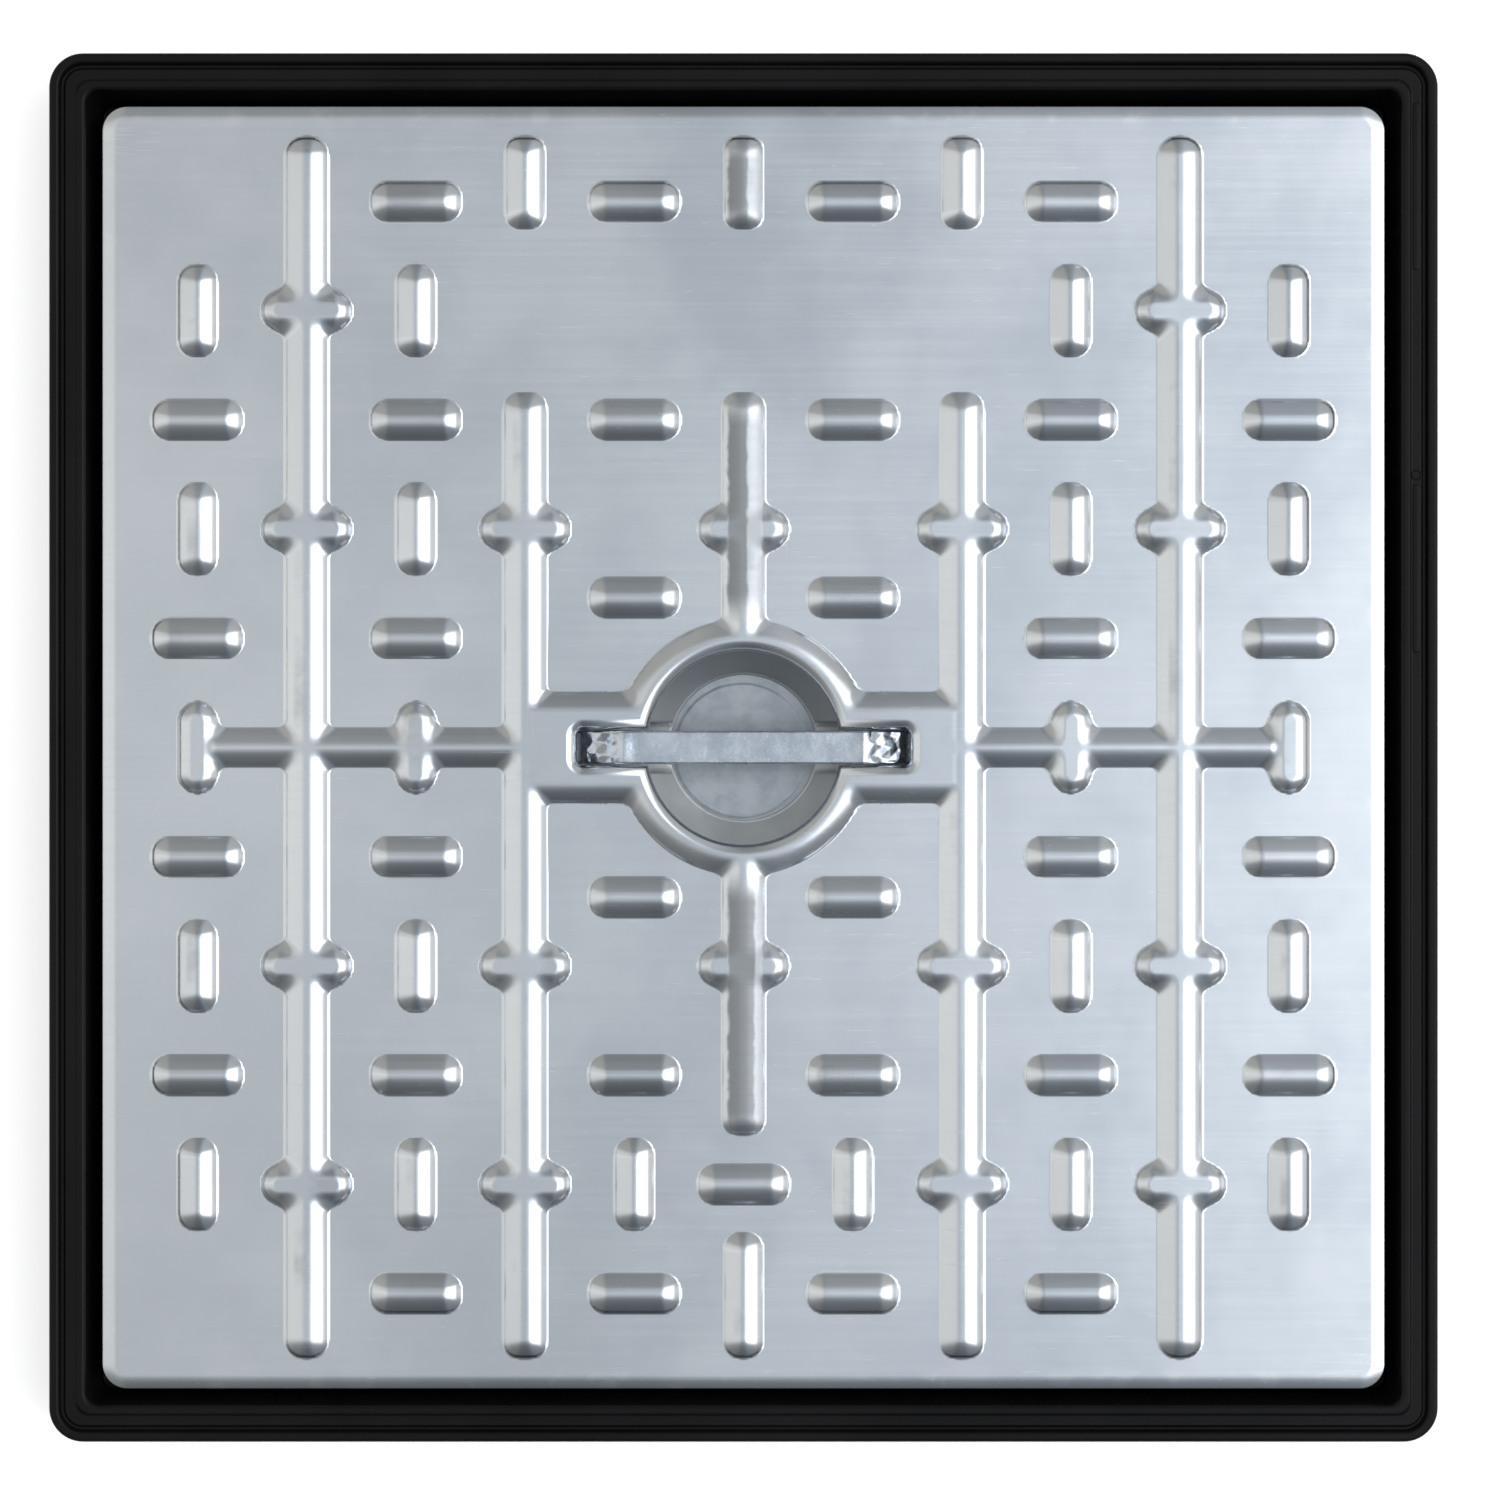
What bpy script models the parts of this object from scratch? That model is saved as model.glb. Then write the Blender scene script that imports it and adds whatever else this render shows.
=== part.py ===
"""Pressed steel access cover with a drop handle, seated on a seal in a moulded plastic frame.

Metres, +Z up. The frame stands on z = 0 with its middle at the origin. Heights inside the
cover are measured from the flat top of its plate, which is where the empty cover_lift stands.
"""

import math

import bmesh
import bpy
from mathutils import Matrix, Vector

# Clearances
FIT_GAP = 0.0003
CUT_OVERRUN = 0.002

# Frame, from the clear opening outwards
CLEAR_OPENING = 0.450
OPENING_CORNER = 0.008
FRAME_WALL = 0.0035
SEAT_LAP = 0.0205
COVER_GAP = 0.0055
WELL_CORNER = 0.0045
WELL_LEAN = 0.0015
BAND_WIDTH = 0.0085
GROOVE_WIDTH = 0.0025
RIM_WIDTH = 0.003
FRAME_CORNER = 0.013

# Frame heights
FRAME_HEIGHT = 0.042
RIM_ROUNDING = 0.0012
BAND_DROP = 0.0005
GROOVE_DEPTH = 0.0014
SEAT_FLOOR = 0.008
FLOOR_THICKNESS = 0.004
UPSTAND_HEIGHT = 0.0145
WEB_THICKNESS = 0.0025
WEB_SPACING = 0.075
WEB_LIFT = 0.001

# Seal under the skirt of the plate
SEAL_WIDTH = 0.009
SEAL_HEIGHT = 0.0058
SEAL_ROUNDING = 0.0015
SEAL_SIDE_GAP = 0.0005

# Pressed plate
SHEET = 0.002
SKIRT_DEPTH = 0.024
PLATE_CORNER = 0.010
EDGE_ROUNDING = 0.0045
RAISE = 0.004
RAISE_RUN = 0.0044
PAD_LENGTH = 0.035
PAD_WIDTH = 0.016
RIB_WIDTH = 0.016
CROSS_RIB_WIDTH = 0.0145
PATTERN_MARGIN = 0.0369
RIB_END_MARGIN = 0.0125
RIB_RISE = 0.010
RIB_DROP = 0.0228
LONG_PAD_LENGTH = 0.0485
INNER_PAD_SHIFT = 0.0155
POCKET_RADIUS = 0.037
BOSS_WIDTH = 0.012
SLOT_LENGTH = 0.1275
SLOT_CORNER = 0.003
SLOT_LAND = 0.0133
LIP_DEPTH = 0.0055

# Lifting handle
STRAP_WIDTH = 0.0126
STRAP_THICKNESS = 0.003
STRAP_SIDE_GAP = 0.0012
GRIP_LENGTH = 0.092
GRIP_RECESS = 0.0008
LEG_END_GAP = 0.0023
FOOT_CATCH = 0.0042
BEND_RADIUS = 0.0045
HANDLE_TRAVEL = 0.018

# Pan that closes the handle's recess from below
PAN_SHEET = 0.0015
PAN_SIDE_GAP = 0.0004
PAN_END_GAP = 0.0015
FLANGE_MARGIN = 0.0008
ARM_FLANGE = 0.004
POCKET_FLOOR_RADIUS = 0.0282
DISC_LAP = 0.005
DISC_THICKNESS = 0.0015

# Folded stiffeners welded under the plate
STIFFENER_SHEET = 0.0015
STIFFENER_HEADROOM = 0.004
STIFFENER_CROWN = 0.018
STIFFENER_MOUTH = 0.024
STIFFENER_FLANGE = 0.009
STIFFENER_BEND = 0.0025
STIFFENERS_PER_SIDE = 3
STIFFENER_PITCH = 0.061
STIFFENER_MARGIN = 0.0535
STIFFENER_END_GAP = 0.0005

# Steps in a quarter turn, or in a bend
PAD_STEPS = 3
HOLLOW_STEPS = 2
CORNER_STEPS = 4
CIRCLE_STEPS = 8
BEND_STEPS = 3

# Raised pads by row: columns of the pads that lie across, and of those that stand upright
ACROSS_PADS = {
    5: (-3, -1, 1, 3),
    3: (-5, -3, -1, 1, 3, 5),
    1: (-5, -3, 3, 5),
    -1: (-5, -3, 3, 5),
    -3: (-5, -3, -1, 1, 3, 5),
    -4: (0,),
    -5: (-3, -1, 1, 3),
}
UPRIGHT_PADS = {
    4: (-5, -3, 3, 5),
    2: (-5, -3, 3, 5),
    0: (-5, -3, 3, 5),
    -2: (-5, -3, 3, 5),
    -4: (-5, -3, -1, 1, 3, 5),
}
TOP_PAD_COLUMNS = (-2, 0, 2)
OUTER_RIB_COLUMNS = (-4, 4)
INNER_RIB_COLUMNS = (-2, 2)
OUTER_RIB_NODES = (4, 2, -2, -4)
INNER_RIB_NODES = (2, -2, -4)
CENTRE_RIB_NODES = (2, -2)
ROWS_FROM_MIDDLE = 5
RIB_TOP_ROW = 3

# Half sizes, counted from the middle of the opening outwards
opening_half = CLEAR_OPENING / 2
plate_half = opening_half + SEAT_LAP
well_half = plate_half + COVER_GAP
band_half = well_half + BAND_WIDTH
groove_half = band_half + GROOVE_WIDTH
frame_half = groove_half + RIM_WIDTH
hollow_half = well_half + FRAME_WALL

# Heights
seal_foot = SEAT_FLOOR + FIT_GAP
plate_top = seal_foot + SEAL_HEIGHT + FIT_GAP + SKIRT_DEPTH
stiffener_foot = UPSTAND_HEIGHT + STIFFENER_HEADROOM - plate_top
lip_foot = RAISE - LIP_DEPTH
foot_top = lip_foot - FIT_GAP - HANDLE_TRAVEL
pan_floor = foot_top - STRAP_THICKNESS - FIT_GAP
pan_foot = pan_floor - PAN_SHEET
flange_top = RAISE - SHEET - FIT_GAP
flange_foot = flange_top - PAN_SHEET

# Recess for the handle
boss_radius = POCKET_RADIUS + BOSS_WIDTH
slot_x = SLOT_LENGTH / 2
slot_y = STRAP_WIDTH / 2 + STRAP_SIDE_GAP
leg_x = slot_x - LEG_END_GAP
toe_x = slot_x + SHEET + FOOT_CATCH
arm_x = toe_x + PAN_END_GAP
arm_y = slot_y + SHEET + PAN_SIDE_GAP
arm_corner = SLOT_CORNER + SHEET + PAN_SIDE_GAP
flange_x = arm_x + PAN_SHEET + ARM_FLANGE

# Pattern on the plate
pitch = (plate_half - PATTERN_MARGIN) / ROWS_FROM_MIDDLE
rib_end = plate_half - RIB_END_MARGIN
rib_top = RIB_TOP_ROW * pitch + RIB_RISE
side_angle = math.atan2(RAISE, RAISE_RUN)
hollow_inset = SHEET * math.tan(side_angle / 2)


def clear_scene():
    """Remove every object that the file opened with."""
    for item in list(bpy.data.objects):
        bpy.data.objects.remove(item, do_unlink=True)


def new_collection(name):
    """Add a collection to the scene."""
    collection = bpy.data.collections.new(name)
    bpy.context.scene.collection.children.link(collection)
    return collection


def new_material(name, colour, roughness, metallic):
    """Make a Principled material with one colour."""
    material = bpy.data.materials.new(name)
    material.use_nodes = True
    shader = material.node_tree.nodes["Principled BSDF"]
    shader.inputs["Base Color"].default_value = (*colour, 1.0)
    shader.inputs["Roughness"].default_value = roughness
    shader.inputs["Metallic"].default_value = metallic
    material.diffuse_color = (*colour, 1.0)
    return material


def new_object(name, shape, collection):
    """Turn a bmesh into a named object of a collection."""
    mesh = bpy.data.meshes.new(name)
    shape.to_mesh(mesh)
    shape.free()
    item = bpy.data.objects.new(name, mesh)
    collection.objects.link(item)
    return item


def new_part(name, shape, material, height=0.0, parent=None):
    """Make a visible piece of the cover at a height above its parent."""
    item = new_object(name, shape, parts)
    item.data.materials.append(material)
    item.location.z = height
    item.parent = parent
    return item


def combine(target, operation, name, shape):
    """Join a shape to a piece or cut it away, with the shape kept as a hidden tool."""
    tool = new_object(name, shape, cutters)
    tool.parent = target
    tool.hide_render = True
    tool.display_type = "WIRE"
    modifier = target.modifiers.new(name, "BOOLEAN")
    modifier.operation = operation
    modifier.solver = "EXACT"
    modifier.use_self = True
    modifier.object = tool
    return tool


def add_block(shape, half_x, half_y, corner, bottom, top, lean=0.0, middle=(0.0, 0.0), steps=CORNER_STEPS):
    """Add an upright block with round corners, whose sides lean in from bottom to top."""
    sides = 4 * steps
    reach = 1.0 / math.cos(math.pi / sides)
    made = bmesh.ops.create_cone(
        shape,
        cap_ends=True,
        segments=sides,
        radius1=corner * reach,
        radius2=(corner - lean) * reach,
        depth=top - bottom,
        matrix=Matrix.Rotation(math.pi / sides, 4, "Z"),
    )
    for vertex in made["verts"]:
        vertex.co.x += middle[0] + math.copysign(half_x - corner, vertex.co.x)
        vertex.co.y += middle[1] + math.copysign(half_y - corner, vertex.co.y)
        vertex.co.z += (bottom + top) / 2
    return made["verts"]


def square_block(half, corner, bottom, top, lean=0.0):
    """A square block with round corners as a shape of its own."""
    shape = bmesh.new()
    add_block(shape, half, half, corner, bottom, top, lean)
    return shape


def round_top(shape, height, radius, steps):
    """Round the edges that lie at one height."""
    edges = [edge for edge in shape.edges if all(abs(v.co.z - height) < FIT_GAP for v in edge.verts)]
    bmesh.ops.bevel(shape, geom=edges, offset=radius, segments=steps, profile=0.5, affect="EDGES")


def add_bar(shape, low, high):
    """Add a square-edged bar between two opposite corners."""
    low = Vector(low)
    high = Vector(high)
    size = Matrix.Diagonal((*(high - low), 1.0))
    bmesh.ops.create_cube(shape, size=1.0, matrix=Matrix.Translation((low + high) / 2) @ size)


def cut_ring(target, name, inner, outer, bottom, top):
    """Cut a square ring out of a piece, each side given as its half size and corner radius."""
    tool = combine(target, "DIFFERENCE", name, square_block(*outer, bottom, top))
    combine(tool, "DIFFERENCE", name + "_core", square_block(*inner, bottom - CUT_OVERRUN, top + CUT_OVERRUN))


def bent_path(points, radius):
    """Points of a path in a plane whose corners are bent to a radius."""
    path = [Vector(points[0])]
    for before, corner, after in zip(points, points[1:], points[2:]):
        corner = Vector(corner)
        back = (Vector(before) - corner).normalized()
        ahead = (Vector(after) - corner).normalized()
        half_angle = back.angle(ahead) / 2
        centre = corner + (back + ahead).normalized() * radius / math.sin(half_angle)
        start = (corner + back * radius / math.tan(half_angle) - centre).normalized()
        end = (corner + ahead * radius / math.tan(half_angle) - centre).normalized()
        for step in range(BEND_STEPS + 1):
            path.append(centre + start.slerp(end, step / BEND_STEPS) * radius)
    path.append(Vector(points[-1]))
    return path


def folded_strip(path, width, along, across):
    """A strip of sheet: a path drawn in the plane of one axis and Z, carried along the other axis."""
    shape = bmesh.new()
    corners = [shape.verts.new(along * p.x + Vector((0, 0, p.y)) - across * width / 2) for p in path]
    edges = [shape.edges.new(pair) for pair in zip(corners, corners[1:])]
    made = bmesh.ops.extrude_edge_only(shape, edges=edges)
    moved = [item for item in made["geom"] if isinstance(item, bmesh.types.BMVert)]
    bmesh.ops.translate(shape, vec=across * width, verts=moved)
    bmesh.ops.recalc_face_normals(shape, faces=shape.faces)
    return shape


def thicken(item, thickness):
    """Give a strip of sheet its thickness, half to each side."""
    modifier = item.modifiers.new("thickness", "SOLIDIFY")
    modifier.thickness = thickness
    modifier.offset = 0.0
    modifier.use_even_offset = True


def build_frame():
    """Moulded frame: rim, groove and band round a well, with a seat channel and webs below."""
    shape = square_block(frame_half, FRAME_CORNER, 0.0, FRAME_HEIGHT)
    round_top(shape, FRAME_HEIGHT, RIM_ROUNDING, 2)
    frame = new_part("frame", shape, black_plastic)

    groove_corner = FRAME_CORNER - RIM_WIDTH
    band_corner = groove_corner - GROOVE_WIDTH
    groove_floor = FRAME_HEIGHT - GROOVE_DEPTH
    band_top = FRAME_HEIGHT - BAND_DROP
    groove = square_block(groove_half, groove_corner, groove_floor, FRAME_HEIGHT + CUT_OVERRUN)
    combine(frame, "DIFFERENCE", "groove_tool", groove)
    band = square_block(band_half, band_corner, groove_floor - FRAME_WALL / 2, band_top)
    combine(frame, "UNION", "band_tool", band)
    well = square_block(well_half - WELL_LEAN, WELL_CORNER, SEAT_FLOOR, band_top + CUT_OVERRUN, -WELL_LEAN)
    combine(frame, "DIFFERENCE", "well_tool", well)

    upstand_corner = OPENING_CORNER + FRAME_WALL
    upstand = square_block(opening_half + FRAME_WALL, upstand_corner, SEAT_FLOOR / 2, UPSTAND_HEIGHT)
    combine(frame, "UNION", "upstand_tool", upstand)
    opening = square_block(opening_half, OPENING_CORNER, -CUT_OVERRUN, UPSTAND_HEIGHT + CUT_OVERRUN)
    combine(frame, "DIFFERENCE", "opening_tool", opening)

    hollow_corner = WELL_CORNER + FRAME_WALL
    hollow_top = groove_floor - FRAME_WALL
    inner = (hollow_half, hollow_corner)
    outer = (frame_half - FRAME_WALL, FRAME_CORNER - FRAME_WALL)
    cut_ring(frame, "rim_hollow_tool", inner, outer, -CUT_OVERRUN, hollow_top)
    inner = (opening_half + FRAME_WALL, upstand_corner)
    outer = (hollow_half - FRAME_WALL, WELL_CORNER)
    cut_ring(frame, "seat_hollow_tool", inner, outer, -CUT_OVERRUN, SEAT_FLOOR - FLOOR_THICKNESS)
    combine(frame, "UNION", "web_tool", frame_webs(hollow_top + FRAME_WALL / 2))


def frame_webs(rim_web_top):
    """Cross webs under the seat and inside the rim, evenly spaced along the four sides."""
    shape = bmesh.new()
    wall_middle = hollow_half - FRAME_WALL / 2
    seat_web = (opening_half + FRAME_WALL / 2, wall_middle, SEAT_FLOOR - FLOOR_THICKNESS / 2)
    rim_web = (wall_middle, frame_half - FRAME_WALL / 2, rim_web_top)
    count = int((opening_half - OPENING_CORNER) / WEB_SPACING)
    for place in range(-count, count + 1):
        low = place * WEB_SPACING - WEB_THICKNESS / 2
        high = low + WEB_THICKNESS
        for near, far, top in (seat_web, rim_web):
            add_bar(shape, (near, low, WEB_LIFT), (far, high, top))
            add_bar(shape, (-far, low, WEB_LIFT), (-near, high, top))
            add_bar(shape, (low, near, WEB_LIFT), (high, far, top))
            add_bar(shape, (low, -far, WEB_LIFT), (high, -near, top))
    return shape


def build_seal():
    """Rubber ring in the seat channel, under the skirt of the plate."""
    outer_half = well_half - WELL_LEAN - SEAL_SIDE_GAP
    outer_corner = PLATE_CORNER + outer_half - plate_half
    inner_half = outer_half - SEAL_WIDTH
    shape = square_block(outer_half, outer_corner, 0.0, SEAL_HEIGHT)
    round_top(shape, SEAL_HEIGHT, SEAL_ROUNDING, 2)
    seal = new_part("seat_seal", shape, black_rubber, seal_foot)
    bore = square_block(inner_half, outer_corner - SEAL_WIDTH, -CUT_OVERRUN, SEAL_HEIGHT + CUT_OVERRUN)
    combine(seal, "DIFFERENCE", "seal_bore_tool", bore)


def raised_outlines():
    """Middle and half sizes of every raised pad and rib on the plate, at the foot of its sides."""
    pad_long = PAD_LENGTH / 2
    pad_short = PAD_WIDTH / 2
    outlines = []
    for row, columns in ACROSS_PADS.items():
        outlines += [(column * pitch, row * pitch, pad_long, pad_short) for column in columns]
    for row, columns in UPRIGHT_PADS.items():
        outlines += [(column * pitch, row * pitch, pad_short, pad_long) for column in columns]
    for column in (-1, 1):
        for side in (-1, 1):
            outlines.append((column * pitch, side * (pitch + INNER_PAD_SHIFT), pad_long, pad_short))
    for column in TOP_PAD_COLUMNS:
        outlines.append((column * pitch, rib_end - pad_long, pad_short, pad_long))
    outlines.append((0.0, LONG_PAD_LENGTH / 2 - rib_end, pad_short, LONG_PAD_LENGTH / 2))

    for column in OUTER_RIB_COLUMNS:
        outlines.append((column * pitch, 0.0, RIB_WIDTH / 2, rib_end))
        outlines += [(column * pitch, row * pitch, pad_long, pad_short) for row in OUTER_RIB_NODES]
    for column in INNER_RIB_COLUMNS:
        outlines.append((column * pitch, (rib_top - rib_end) / 2, RIB_WIDTH / 2, (rib_top + rib_end) / 2))
        outlines += [(column * pitch, row * pitch, pad_long, pad_short) for row in INNER_RIB_NODES]
    centre_rib_end = RIB_TOP_ROW * pitch + RIB_DROP
    centre_half = (rib_top + centre_rib_end) / 2
    outlines.append((0.0, rib_top - centre_half, RIB_WIDTH / 2, centre_half))
    outlines += [(0.0, row * pitch, pad_long, pad_short) for row in CENTRE_RIB_NODES]
    outlines.append((0.0, 0.0, ROWS_FROM_MIDDLE * pitch, CROSS_RIB_WIDTH / 2))
    return outlines


def pressed_forms(inset, depth, steps):
    """The raised forms as one shape, drawn in by an inset and sunk by a depth for the underside."""
    shape = bmesh.new()
    buried = SHEET / 2
    spread = RAISE_RUN * buried / RAISE - inset
    lean = RAISE_RUN * (RAISE + buried) / RAISE
    bottom = -depth - buried
    top = RAISE - depth
    for x, y, half_x, half_y in raised_outlines():
        corner = min(half_x, half_y) + spread
        form_lean = min(lean, corner - FIT_GAP)
        add_block(shape, half_x + spread, half_y + spread, corner, bottom, top, form_lean, (x, y), steps)
    boss = boss_radius + spread
    add_block(shape, boss, boss, boss, bottom, top, lean, steps=CIRCLE_STEPS)
    band_x = max(INNER_RIB_COLUMNS[-1] * pitch, flange_x + FLANGE_MARGIN + hollow_inset + RAISE_RUN) + spread
    band_y = slot_y + SLOT_LAND + spread
    add_block(shape, band_x, band_y, RIB_WIDTH / 2 + spread, bottom, top, lean, steps=steps)
    return shape


def recess_outline(grow, bottom, top):
    """Round pocket with a slot across it, grown on every side."""
    shape = bmesh.new()
    radius = POCKET_RADIUS + grow
    add_block(shape, radius, radius, radius, bottom, top, steps=CIRCLE_STEPS)
    add_block(shape, slot_x + grow, slot_y + grow, SLOT_CORNER + grow, bottom, top)
    return shape


def build_plate():
    """Pressed plate: rounded tray, hollow raised pattern, and a lipped opening for the handle."""
    shape = square_block(plate_half, PLATE_CORNER, -SKIRT_DEPTH, 0.0)
    round_top(shape, 0.0, EDGE_ROUNDING, 3)
    plate = new_part("cover_plate", shape, galvanised_steel, parent=cover_lift)
    combine(plate, "UNION", "raised_tool", pressed_forms(0.0, 0.0, PAD_STEPS))
    tray = square_block(plate_half - SHEET, PLATE_CORNER - SHEET, -SKIRT_DEPTH - CUT_OVERRUN, -SHEET)
    round_top(tray, -SHEET, max(EDGE_ROUNDING - SHEET, FIT_GAP), 3)
    combine(plate, "DIFFERENCE", "tray_tool", tray)
    combine(plate, "DIFFERENCE", "hollow_tool", pressed_forms(hollow_inset, SHEET, HOLLOW_STEPS))
    combine(plate, "UNION", "lip_tool", recess_outline(SHEET, lip_foot, RAISE - SHEET / 2))
    opening = recess_outline(0.0, lip_foot - CUT_OVERRUN, RAISE + CUT_OVERRUN)
    combine(plate, "DIFFERENCE", "recess_tool", opening)


def add_turned(shape, profile):
    """Add a solid turned about the Z axis from a profile that starts and ends on the axis."""
    corners = [shape.verts.new((radius, 0.0, height)) for radius, height in profile]
    edges = [shape.edges.new(pair) for pair in zip(corners, corners[1:])]
    made = bmesh.ops.spin(
        shape,
        geom=corners + edges,
        axis=(0.0, 0.0, 1.0),
        cent=(0.0, 0.0, 0.0),
        angle=2 * math.pi,
        steps=4 * CIRCLE_STEPS,
        use_merge=True,
    )
    bmesh.ops.remove_doubles(shape, verts=shape.verts, dist=0.00001)
    bmesh.ops.recalc_face_normals(shape, faces=shape.faces)
    return made


def pan_cup(grow, bottom, top):
    """Tapered cup under the round pocket: a neck round the lip, then a cone down to the floor."""
    neck = POCKET_RADIUS + SHEET + PAN_SIDE_GAP + grow
    floor = POCKET_FLOOR_RADIUS + grow
    neck_foot = min(lip_foot, flange_foot) - FIT_GAP
    shape = bmesh.new()
    cone = [(floor, pan_foot), (neck, neck_foot)]
    if bottom < pan_foot:
        cone.insert(0, (floor, bottom))
    add_turned(shape, [(0.0, bottom), *cone, (neck, top), (0.0, top)])
    return shape


def pan_arms(grow, bottom, top):
    """Trough under the slot, long enough for the feet of the handle."""
    shape = bmesh.new()
    add_block(shape, arm_x + grow, arm_y + grow, arm_corner + grow, bottom, top)
    return shape


def build_pan():
    """Pressed pan under the recess: a flange on the boss, a tapered cup and two arms for the feet."""
    flange_inset = RAISE_RUN + hollow_inset + FLANGE_MARGIN
    flange_radius = boss_radius - flange_inset
    flange_y = slot_y + SLOT_LAND - flange_inset
    shape = bmesh.new()
    add_block(shape, flange_radius, flange_radius, flange_radius, flange_foot, flange_top, steps=CIRCLE_STEPS)
    pan = new_part("handle_pan", shape, pan_steel, parent=cover_lift)

    flange = bmesh.new()
    add_block(flange, flange_x, flange_y, arm_corner, flange_foot, flange_top)
    combine(pan, "UNION", "pan_flange_tool", flange)
    flange_middle = flange_top - PAN_SHEET / 2
    combine(pan, "UNION", "pan_cup_tool", pan_cup(PAN_SHEET, pan_foot, flange_middle))
    combine(pan, "UNION", "pan_arm_tool", pan_arms(PAN_SHEET, pan_foot, flange_middle))
    above = flange_top + CUT_OVERRUN
    combine(pan, "DIFFERENCE", "pan_cup_cut", pan_cup(0.0, pan_foot - CUT_OVERRUN, above))
    combine(pan, "DIFFERENCE", "pan_arm_cut", pan_arms(0.0, pan_floor, above))


def build_pocket_disc():
    """Flat disc welded under the open foot of the pan."""
    radius = POCKET_FLOOR_RADIUS + DISC_LAP
    top = pan_foot - FIT_GAP
    shape = bmesh.new()
    add_block(shape, radius, radius, radius, top - DISC_THICKNESS, top, steps=CIRCLE_STEPS)
    new_part("pocket_disc", shape, disc_steel, parent=cover_lift)


def build_handle():
    """Flat strap: a grip, two legs that spread downwards, and feet that stop under the slot ends."""
    foot_height = foot_top - STRAP_THICKNESS / 2
    grip_height = RAISE - GRIP_RECESS - STRAP_THICKNESS / 2
    half = [(GRIP_LENGTH / 2, grip_height), (leg_x, foot_height), (toe_x, foot_height)]
    points = [(-x, z) for x, z in reversed(half)] + half
    path = bent_path(points, BEND_RADIUS)
    shape = folded_strip(path, STRAP_WIDTH, Vector((1, 0, 0)), Vector((0, 1, 0)))
    handle = new_part("lifting_handle", shape, handle_steel, parent=handle_lift)
    thicken(handle, STRAP_THICKNESS)


def build_stiffeners():
    """Folded channels across the plate, each with two flanges against its underside."""
    top = -SHEET - FIT_GAP - STIFFENER_SHEET / 2
    crown = stiffener_foot + STIFFENER_SHEET / 2
    mouth = STIFFENER_MOUTH / 2
    half = [(STIFFENER_CROWN / 2, crown), (mouth, top), (mouth + STIFFENER_FLANGE, top)]
    points = [(-y, z) for y, z in reversed(half)] + half
    path = bent_path(points, STIFFENER_BEND)
    length = 2 * (plate_half - EDGE_ROUNDING - STIFFENER_END_GAP)
    nearest = boss_radius + mouth + STIFFENER_FLANGE
    furthest = plate_half - STIFFENER_MARGIN
    spread = STIFFENER_PITCH * (STIFFENERS_PER_SIDE - 1)
    start = (nearest + furthest - spread) / 2
    rows = [start + STIFFENER_PITCH * step for step in range(STIFFENERS_PER_SIDE)]
    places = [side * row for row in rows for side in (1, -1)]
    for number, place in enumerate(places, start=1):
        shape = folded_strip(path, length, Vector((0, 1, 0)), Vector((1, 0, 0)))
        stiffener = new_part(f"stiffener_{number}", shape, galvanised_channel, parent=cover_lift)
        stiffener.location.y = place
        thicken(stiffener, STIFFENER_SHEET)


def new_empty(name, height, parent=None):
    """An empty on the lifting axis that carries what moves with it."""
    item = bpy.data.objects.new(name, None)
    parts.objects.link(item)
    item.location.z = height
    item.parent = parent
    return item


clear_scene()
parts = new_collection("manhole_cover")
cutters = new_collection("manhole_cover_tools")

black_plastic = new_material("black_plastic", (0.012, 0.013, 0.015), 0.42, 0.0)
black_rubber = new_material("black_rubber", (0.015, 0.015, 0.015), 0.75, 0.0)
galvanised_steel = new_material("galvanised_steel", (0.62, 0.65, 0.69), 0.30, 1.0)
galvanised_channel = new_material("galvanised_channel", (0.55, 0.58, 0.61), 0.40, 1.0)
pan_steel = new_material("pan_steel", (0.50, 0.53, 0.56), 0.38, 1.0)
disc_steel = new_material("disc_steel", (0.52, 0.56, 0.62), 0.45, 1.0)
handle_steel = new_material("handle_steel", (0.58, 0.62, 0.68), 0.33, 1.0)

cover_lift = new_empty("cover_lift", plate_top)
handle_lift = new_empty("handle_lift", 0.0, cover_lift)

build_frame()
build_seal()
build_plate()
build_pan()
build_pocket_disc()
build_handle()
build_stiffeners()
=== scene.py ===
import bpy
import numpy as np
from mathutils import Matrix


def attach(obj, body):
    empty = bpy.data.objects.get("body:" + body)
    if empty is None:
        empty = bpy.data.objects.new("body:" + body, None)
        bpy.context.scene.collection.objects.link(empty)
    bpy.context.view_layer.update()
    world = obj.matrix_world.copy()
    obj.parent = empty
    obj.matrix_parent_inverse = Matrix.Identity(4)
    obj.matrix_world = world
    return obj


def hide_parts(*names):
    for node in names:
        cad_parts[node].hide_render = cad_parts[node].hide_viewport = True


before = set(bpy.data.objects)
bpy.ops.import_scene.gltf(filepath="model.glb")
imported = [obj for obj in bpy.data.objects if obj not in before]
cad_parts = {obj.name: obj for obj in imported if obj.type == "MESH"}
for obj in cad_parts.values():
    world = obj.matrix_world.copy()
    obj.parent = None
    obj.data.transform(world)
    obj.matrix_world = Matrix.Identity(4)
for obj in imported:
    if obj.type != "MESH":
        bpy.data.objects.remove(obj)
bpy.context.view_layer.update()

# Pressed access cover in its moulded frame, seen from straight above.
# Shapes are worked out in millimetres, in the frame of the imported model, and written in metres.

MM = 0.001
QUARTER = np.pi / 2
CREASE = np.radians(38.0)

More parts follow.
